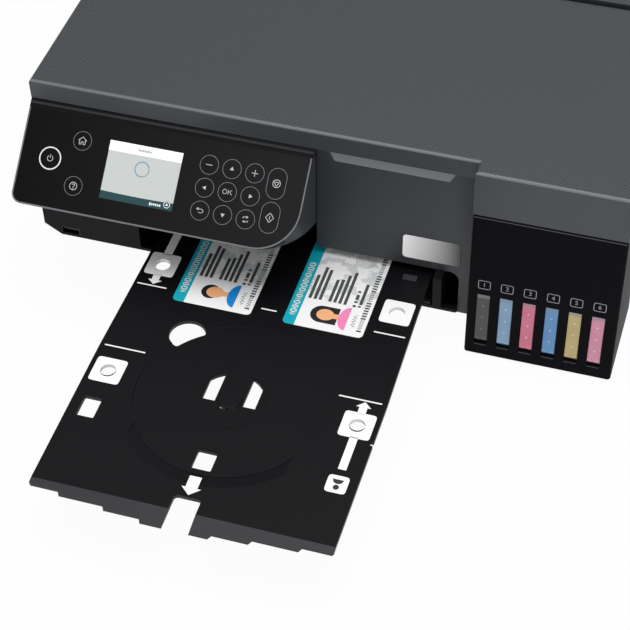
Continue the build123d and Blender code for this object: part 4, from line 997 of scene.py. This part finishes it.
sign = bmesh.new()
sign_place = disc_place @ Matrix.Translation((83.4 * mm, -46.5 * mm, paint_thick))
add_disc(sign, sign_place, (0, -2.4 * mm), 1.9 * mm, 32)
bowl = bmesh.ops.create_circle(sign, segments=40, radius=3.4 * mm)["verts"]
for vertex in bowl:
    vertex.co.y = min(vertex.co.y, 0) + 3.6 * mm
    vertex.co.z = 0
bmesh.ops.remove_doubles(sign, verts=bowl, dist=1e-6)
bowl = [v for v in bowl if v.is_valid]
bowl_face = sign.faces.new(bowl)
lifted = bmesh.ops.extrude_face_region(sign, geom=[bowl_face])
bowl_top = [v for v in lifted["geom"] if isinstance(v, bmesh.types.BMVert)]
bmesh.ops.translate(sign, verts=bowl_top, vec=(0, 0, print_thick))
bmesh.ops.transform(sign, verts=bowl + bowl_top, matrix=sign_place)
# painted shade: a white pad at the back, under the front cover, is painted dark grey for the shade it
# lies in
clip = bmesh.new()
add_bar(clip, disc_place, (80.5 * mm, 129.4 * mm, 0), (80.5 * mm, 134.5 * mm, 0), 9.4 * mm, paint_thick)
pad_shade_ink = smooth_plastic("dark_grey_pad", "#2e2f33", "#35363a", 5 * mm, 0.5)
finish_piece("tray_rear_pad", clip, pad_shade_ink, "disc_tray")
sign_ink = smooth_plastic("black_sign_ink", "#1b1b1d", "#242426", 5 * mm, 0.5)
finish_piece("tray_sign", sign, sign_ink, "disc_tray")


# ---------------------------------------------------------------- plastic cards
# Two laminated PVC cards. The teal band and the pale print are in the card's surface;
# the bars, the code and a plain head-and-shoulders sign are printed over it.
card_width = 53.98 * mm
band_width = 8.2 * mm
card_body, card_tree = start_material("printed_pvc_card")
card_point = add_node(card_tree, "ShaderNodeTexCoord").outputs["Object"]
card_axis = add_node(card_tree, "ShaderNodeSeparateXYZ", {0: card_point})
band_masks = []
for start in (card_low.x, card_high.x - card_width):
    after = add_node(card_tree, "ShaderNodeMath",
                     {0: card_axis.outputs["X"], 1: start - 0.1 * mm}, operation="GREATER_THAN")
    until = add_node(card_tree, "ShaderNodeMath",
                     {0: card_axis.outputs["X"], 1: start + band_width}, operation="LESS_THAN")
    band_masks.append(add_node(card_tree, "ShaderNodeMath",
                               {0: after.outputs[0], 1: until.outputs[0]},
                               operation="MULTIPLY"))
band = add_node(card_tree, "ShaderNodeMath",
                {0: band_masks[0].outputs[0], 1: band_masks[1].outputs[0]},
                operation="MAXIMUM")
lands = add_node(card_tree, "ShaderNodeTexNoise",
                 {"Vector": card_point, "Scale": 1 / (9 * mm), "Detail": 6.0,
                  "Roughness": 0.6})
land_edge = add_node(card_tree, "ShaderNodeMapRange",
                     {"Value": lands.outputs["Fac"], "From Min": 0.5, "From Max": 0.54})
inner_print = add_node(card_tree, "ShaderNodeMapRange",
                       {"Value": card_axis.outputs["Y"],
                        "From Min": card_low.y + 24 * mm, "From Max": card_low.y + 30 * mm})
land_mask = add_node(card_tree, "ShaderNodeMath",
                     {0: land_edge.outputs[0], 1: inner_print.outputs[0]},
                     operation="MULTIPLY")
paper = add_node(card_tree, "ShaderNodeMix",
                 {"Factor": land_mask.outputs[0], 6: linear("#fbfbfb"), 7: linear("#d9dcde")},
                 data_type="RGBA")
card_colour = add_node(card_tree, "ShaderNodeMix",
                       {"Factor": band.outputs[0], 6: paper.outputs[2], 7: linear("#0fadbf")},
                       data_type="RGBA")
end_material(
    card_tree,
    add_node(card_tree, "ShaderNodeBsdfPrincipled",
             {"Base Color": card_colour.outputs[2], "Roughness": 0.3, "IOR": 1.54}),
)
dress(card_body, "id_cards")

bar_ink = smooth_plastic("dark_grey_card_ink", "#47484a", "#505153", 6 * mm, 0.4)
white_ink = smooth_plastic("white_card_ink", "#f4fafa", "#ffffff", 6 * mm, 0.4)
hair_ink = smooth_plastic("black_card_ink", "#17171a", "#1f1f22", 6 * mm, 0.4)
face_ink = smooth_plastic("buff_card_ink", "#f6b27c", "#f9bb88", 6 * mm, 0.4)
blue_ink = smooth_plastic("blue_card_ink", "#0d83d8", "#148cdf", 6 * mm, 0.4)
pink_ink = smooth_plastic("pink_card_ink", "#f585b8", "#f98fc0", 6 * mm, 0.4)
pale_ink = smooth_plastic("pale_grey_card_ink", "#a9acae", "#b4b7b9", 6 * mm, 0.4)

line_columns = ((11.2, 25.7, 47.5), (14.7, 25.7, 55.8), (18.1, 25.8, 54.0),
                (24.7, 25.9, 46.3), (28.1, 26.0, 47.5), (31.5, 25.9, 52.1),
                (35.0, 25.8, 55.8), (41.4, 25.3, 27.2), (41.4, 29.2, 30.9),
                (41.4, 32.0, 36.7), (41.4, 38.6, 40.2), (45.1, 28.2, 47.5),
                (44.8, 25.8, 27.2))
for card, start, coat in (("left", card_low.x, blue_ink),
                          ("right", card_high.x - card_width, pink_ink)):
    card_place = Matrix.Translation((start, card_low.y, card_high.z))
    lines = bmesh.new()
    for across, near, far in line_columns:
        add_bar(lines, card_place, (across * mm, near * mm, 0), (across * mm, far * mm, 0),
                2.1 * mm)
    # the stripes of a code along the right edge, in long and short groups
    step = 0
    along_edge = 5.5
    while along_edge < 80:
        solid_stripe = (step // 6) % 2 or step % 6 == 0
        if solid_stripe:
            add_bar(lines, card_place, (48.6 * mm, along_edge * mm, 0),
                    (51.8 * mm, along_edge * mm, 0), 1.35 * mm)
        else:
            for end in (48.9, 51.5):
                add_bar(lines, card_place, (50.2 * mm, (along_edge - 0.5) * mm, 0),
                        (end * mm, (along_edge + 0.5) * mm, 0), 0.5 * mm)
        along_edge += 2.35 if solid_stripe else 1.8
        step += 1
    finish_piece(f"card_lines_{card}", lines, bar_ink, "disc_tray")
    # blocks in place of a heading, in the band
    heading = bmesh.new()
    along_band = 9.0
    for block in (0.4, 2.4, 1.8, 2.4, 0.4, 1.9, 0.4, 2.3, 2.4, 1.9, 0.4, 2.3, 0.4, 2.4, 2.4):
        corners = [(x * mm, y * mm) for x, y in (
            (2.6, along_band), (6.0, along_band), (6.0, along_band + block),
            (2.6, along_band + block))]
        add_strokes(heading, card_place, corners, 0.75 * mm, closed=True)
        along_band += block + 1.7
    finish_piece(f"card_heading_{card}", heading, white_ink, "disc_tray")
    # a sign of a person: a round head, its hair and a rounded pair of shoulders
    head_place = card_place @ Matrix.Translation((24.5 * mm, 13.8 * mm, 0))
    hair = bmesh.new()
    if card == "left":
        add_disc(hair, head_place, (-2.2 * mm, 0), 6.2 * mm, 40)
    else:
        add_disc(hair, head_place, (-1.6 * mm, 0), 7.4 * mm, 40)
        add_bar(hair, head_place, (-1.6 * mm, 0, 0), (9.5 * mm, 0, 0), 14.8 * mm,
                print_thick * 0.9)
    finish_piece(f"card_hair_{card}", hair, hair_ink, "disc_tray")
    over_hair = head_place @ Matrix.Translation((0, 0, print_thick))
    skin = bmesh.new()
    long_head = over_hair @ Matrix.Translation((1.0 * mm, 0, 0)) @ Matrix.Diagonal((1.2, 1, 1, 1))
    add_disc(skin, long_head, (0, 0), 4.9 * mm, 40)
    add_bar(skin, over_hair, (4.0 * mm, 0, 0), (11.5 * mm, 0, 0), 4.2 * mm, print_thick * 0.9)
    finish_piece(f"card_head_{card}", skin, face_ink, "disc_tray")
    over_skin = over_hair @ Matrix.Translation((0, 0, print_thick))
    shoulders = bmesh.new()
    arch = bmesh.ops.create_circle(shoulders, segments=48, radius=10.2 * mm)["verts"]
    for vertex in arch:
        vertex.co.x = min(vertex.co.x * 0.62, 0) + 16.2 * mm
    bmesh.ops.remove_doubles(shoulders, verts=arch, dist=1e-6)
    arch = [v for v in arch if v.is_valid]
    arch_face = shoulders.faces.new(arch)
    lifted = bmesh.ops.extrude_face_region(shoulders, geom=[arch_face])
    arch_top = [v for v in lifted["geom"] if isinstance(v, bmesh.types.BMVert)]
    bmesh.ops.translate(shoulders, verts=arch_top, vec=(0, 0, print_thick))
    bmesh.ops.transform(shoulders, verts=arch + arch_top, matrix=over_skin)
    finish_piece(f"card_shoulders_{card}", shoulders, coat, "disc_tray")
    # a squiggle where a signature goes
    squiggle = bmesh.new()
    pen = [((45.0 + 1.4 * math.sin(k * 1.9)) * mm, (8.0 + k * 0.75) * mm) for k in range(15)]
    add_strokes(squiggle, card_place, pen, 0.28 * mm)
    finish_piece(f"card_squiggle_{card}", squiggle, bar_ink, "disc_tray")
    # rings of a guilloche rosette near the inner end
    rosette = bmesh.new()
    for turn in range(7):
        add_ring(rosette, card_place, (37.8 * mm, 68.5 * mm), (1.2 + turn * 1.0) * mm,
                 0.35 * mm)
    finish_piece(f"card_rosette_{card}", rosette, pale_ink, "disc_tray")


# ---------------------------------------------------------------- output tray
# The stowed paper tray and its extension are black ABS, grained like the tub.
guide_plastic = etched_plastic(
    "dark_guide_abs", "#18191c", "#202124", 0.5 * mm, 0.03 * mm, 0.48, 0.15
)
dress(guide_plastic, "output_tray", "output_tray_extension", "edge_guide_left",
      "edge_guide_right")


# ---------------------------------------------------------------- tank housing and inks
# A near-black satin box. Frosted polypropylene tanks show in its windows, tinted by
# their inks, each with three moulded pips. A printed frame over each holds its number.
tank_plastic = etched_plastic(
    "black_satin_abs", "#0e0e12", "#131317", 0.6 * mm, 0.02 * mm, 0.44, 0.02
)
dress(tank_plastic, "tank_housing")


ink_level = 51.5 * mm


def tinted_tank(name, ink, pale):
    """Frosted polypropylene with ink behind it, paler in soft random patches."""
    material, tree = start_material(name)
    place = add_node(tree, "ShaderNodeTexCoord").outputs["Object"]
    frost = add_node(tree, "ShaderNodeTexNoise",
                     {"Vector": place, "Scale": 1 / (0.7 * mm), "Detail": 3.0})
    pool = add_node(tree, "ShaderNodeTexNoise",
                    {"Vector": place, "Scale": 1 / (14 * mm), "Detail": 2.0})
    tone = add_node(tree, "ShaderNodeMix",
                    {"Factor": pool.outputs["Fac"], 6: linear(ink), 7: linear(pale)},
                    data_type="RGBA")
    # above the ink the clear wall shows grey
    level = add_node(tree, "ShaderNodeSeparateXYZ", {0: place})
    dry = add_node(tree, "ShaderNodeMapRange",
                   {"Value": level.outputs["Z"], "From Min": ink_level - 1.2 * mm,
                    "From Max": ink_level, "To Max": 0.55})
    shown = add_node(tree, "ShaderNodeMix",
                     {"Factor": dry.outputs[0], 6: tone.outputs[2], 7: linear("#86898c")},
                     data_type="RGBA")
    dust = add_node(tree, "ShaderNodeBump",
                    {"Height": frost.outputs["Fac"], "Distance": 0.03 * mm,
                     "Strength": 0.35})
    shader = add_node(tree, "ShaderNodeBsdfPrincipled",
                      {"Base Color": shown.outputs[2], "Roughness": 0.34, "IOR": 1.49,
                       "Normal": dust.outputs[0]})
    end_material(tree, shader)
    return material


# each ink, the same where it is pale, and its pips
tank_inks = {
    "bk": ("#3b3b3b", "#484848", "#6c6e70"),
    "lc": ("#7594b3", "#86a5c4", "#afc2d2"),
    "m": ("#c4657f", "#d37992", "#e0a5b4"),
    "c": ("#5182b2", "#6293c4", "#93b7d2"),
    "y": ("#b09c68", "#c0ae7c", "#d0c29c"),
    "lm": ("#c37f95", "#d292a6", "#e2b6c3"),
}
label_ink = smooth_plastic("grey_label_ink", "#929395", "#9d9ea0", 5 * mm, 0.5)
edge_highlight_ink = smooth_plastic("polished_black_edge", "#3a3b3e", "#424346", 5 * mm, 0.3)
housing_low, housing_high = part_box("tank_housing")
label_level = 62.6 * mm
lean_place = Matrix.Identity(4)
for axis, direction in enumerate((Vector((1, 0, 0)), lean_up, lean_out)):
    lean_place.col[axis][:3] = direction
front_out = max(v.co.dot(lean_out) for v in nodes["tank_housing"].data.vertices)
lean_place.translation = lean_out * front_out


def on_front(x, level, depth=0.0):
    """A place on the leaning front, at a height over the floor and a depth behind it."""
    up = (level - front_out * lean_out.z) / lean_up.z
    return lean_place @ Matrix.Translation((x, up, -depth))


# painted highlights: paler bars along the housing's top edge and the ledges under its windows stand for
# the light they catch
ledges = bmesh.new()
half_housing = (housing_high.x - housing_low.x) / 2
housing_mid = housing_low.x + half_housing
add_bar(ledges, on_front(housing_mid, housing_high.z - 1.5 * mm),
        (0.6 * mm - half_housing, 0, 0), (half_housing - 0.6 * mm, 0, 0), 0.6 * mm)
for ink_name in tank_inks:
    tank_low, tank_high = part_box("ink_tank_" + ink_name)
    ledge_place = on_front((tank_low.x + tank_high.x) / 2, 11.1 * mm)
    add_bar(ledges, ledge_place, (-4.0 * mm, 0, 0), (4.0 * mm, 0, 0), 0.45 * mm)
finish_piece("tank_housing_edges", ledges, edge_highlight_ink, "printer_body")

for number, (ink_name, (ink, pale, pip)) in enumerate(tank_inks.items(), 1):
    tank = "ink_tank_" + ink_name
    tinted = tinted_tank("tinted_tank_" + ink_name, ink, pale)
    dress(tinted, tank)
    tank_low, tank_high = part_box(tank)
    middle = (tank_low.x + tank_high.x) / 2
    label = bmesh.new()
    label_place = on_front(middle, label_level)
    half_w = 3.9 * mm
    half_h = 3.3 * mm
    turn_in = 1.1 * mm
    frame_line = 0.45 * mm
    for side in (-1, 1):
        add_bar(label, label_place, (turn_in - half_w, side * half_h, 0),
                (half_w - turn_in, side * half_h, 0), frame_line)
        add_bar(label, label_place, (side * half_w, turn_in - half_h, 0),
                (side * half_w, half_h - turn_in, 0), frame_line)
    for across, up, quarter in ((1, 1, 0), (-1, 1, 90), (-1, -1, 180), (1, -1, 270)):
        add_ring(label, label_place,
                 (across * (half_w - turn_in), up * (half_h - turn_in)),
                 turn_in + frame_line / 2, frame_line, quarter, 90)
    add_text(label, label_place, str(number), 4.6 * mm, (0, 0))
    finish_piece("label_" + ink_name, label, label_ink, "printer_body")
    # three moulded pips, and bright ends of the tank's ribs in the lower corners
    tank_out = max(v.co.dot(lean_out) for v in nodes[tank].data.vertices)
    behind = front_out - tank_out
    pips = bmesh.new()
    pip_plastic = smooth_plastic("clear_wall_" + ink_name, pip, pip, 3 * mm, 0.3)
    for height in (24.5, 34.5, 44.5):
        bmesh.ops.create_uvsphere(
            pips, u_segments=20, v_segments=10, radius=0.8 * mm,
            matrix=on_front(middle, height * mm, behind) @ Matrix.Diagonal((1, 1, 0.35, 1)),
        )
    for side in (-1, 1):
        for reach, height in ((3.0, 16.6), (1.6, 15.9)):
            rib_place = on_front(middle + side * reach * mm, height * mm, behind)
            add_bar(pips, rib_place, (-0.6 * mm, 0, 0), (0.6 * mm, 0, 0), 0.5 * mm)
    finish_piece("pips_" + ink_name, pips, pip_plastic, "printer_body")
cap_plastic = etched_plastic("grey_cap_plastic", "#3c3e40", "#47494b", 0.6 * mm, 0.02 * mm, 0.5)
dress(cap_plastic, "tank_caps")


# ---------------------------------------------------------------- inside and underneath
# Carriage, head, platen, station, chute and power box are plain black plastic. The
# rollers, belt and feet are rubber, and the tube ribbon is clear and soft.
inner_plastic = etched_plastic(
    "plain_black_plastic", "#141517", "#1b1c1f", 0.7 * mm, 0.03 * mm, 0.5, 0.2
)
dress(inner_plastic, "carriage", "print_head", "platen", "maintenance_station",
      "paper_chute", "power_supply")
rubber = etched_plastic("black_rubber", "#141414", "#1c1c1c", 0.9 * mm, 0.05 * mm, 0.8)
dress(rubber, "rubber_feet", "feed_roller", "eject_roller", "timing_belt")
soft_tube = smooth_plastic("clear_soft_tube", "#b4b9b9", "#c2c7c7", 10 * mm, 0.3, 0.3)
dress(soft_tube, "ink_tubes")


# ---------------------------------------------------------------- stage, lights, camera
# A seamless white ground that keeps a faint shadow, one wide soft light overhead and an
# even sky. The camera stands where the photograph's did.
floor_mesh = bmesh.new()
bmesh.ops.create_grid(floor_mesh, x_segments=1, y_segments=1, size=12)
floor_data = bpy.data.meshes.new("floor")
floor_mesh.to_mesh(floor_data)
floor_mesh.free()
floor = bpy.data.objects.new("floor", floor_data)
bpy.context.scene.collection.objects.link(floor)
ground, ground_tree = start_material("white_ground")
ray = add_node(ground_tree, "ShaderNodeLightPath")
mirrored = add_node(ground_tree, "ShaderNodeMath",
                    {0: ray.outputs["Is Glossy Ray"], 1: ray.outputs["Is Transmission Ray"]},
                    operation="MAXIMUM")
seen = add_node(ground_tree, "ShaderNodeMath",
                {0: ray.outputs["Is Camera Ray"], 1: mirrored.outputs[0]},
                operation="MAXIMUM")
ground_diffuse = add_node(ground_tree, "ShaderNodeBsdfDiffuse", {"Color": linear("#e8e8e8")})
ground_glow = add_node(ground_tree, "ShaderNodeEmission",
                       {"Color": linear("#ffffff"), "Strength": 1.0})
ground_share = add_node(ground_tree, "ShaderNodeMath",
                        {0: seen.outputs[0], 1: 0.96}, operation="MULTIPLY")
ground_mix = add_node(ground_tree, "ShaderNodeMixShader",
                      {0: ground_share.outputs[0], 1: ground_diffuse.outputs[0],
                       2: ground_glow.outputs[0]})
end_material(ground_tree, ground_mix)
floor_data.materials.append(ground)

world = bpy.data.worlds.new("sky")
world.use_nodes = True
bpy.context.scene.world = world
background = world.node_tree.nodes["Background"]
background.inputs["Color"].default_value = linear("#ffffff")
background.inputs["Strength"].default_value = 0.48


def soft_light(name, place, aim, size, power):
    """A square area light that faces a point."""
    lamp = bpy.data.lights.new(name, "AREA")
    lamp.size = size
    lamp.energy = power
    light = bpy.data.objects.new(name, lamp)
    bpy.context.scene.collection.objects.link(light)
    light.location = place
    light.rotation_euler = (Vector(aim) - Vector(place)).to_track_quat("-Z", "Y").to_euler()


soft_light("overhead", (0.1, 0.0, 2.0), (0, -0.05, 0.05), 1.3, 26.0)
soft_light("front_fill", (0.45, -2.3, 0.42), (0, -0.05, 0.08), 1.1, 13.0)

camera_place = Vector((0.2780, -0.8937, 0.9294))
camera_aim = Vector((0.00984, -0.09836, 0.0477))
camera_roll = math.radians(-2.24)
photo_size = 630
photo_centre = photo_size / 2
photo_axis = (317.6, 305.2)
photo_focal = 1866.3
camera_data = bpy.data.cameras.new("camera")
camera_data.sensor_fit = "HORIZONTAL"
camera_data.sensor_width = 36
camera_data.lens = camera_data.sensor_width * photo_focal / photo_size
camera_data.shift_x = (photo_centre - photo_axis[0]) / photo_size
camera_data.shift_y = (photo_axis[1] - photo_centre) / photo_size
camera = bpy.data.objects.new("camera", camera_data)
bpy.context.scene.collection.objects.link(camera)
look = (camera_aim - camera_place).to_track_quat("-Z", "Y").to_matrix().to_4x4()
camera.matrix_world = (
    Matrix.Translation(camera_place) @ look @ Matrix.Rotation(camera_roll, 4, "Z")
)
bpy.context.scene.camera = camera
bpy.context.scene.view_settings.view_transform = "Standard"
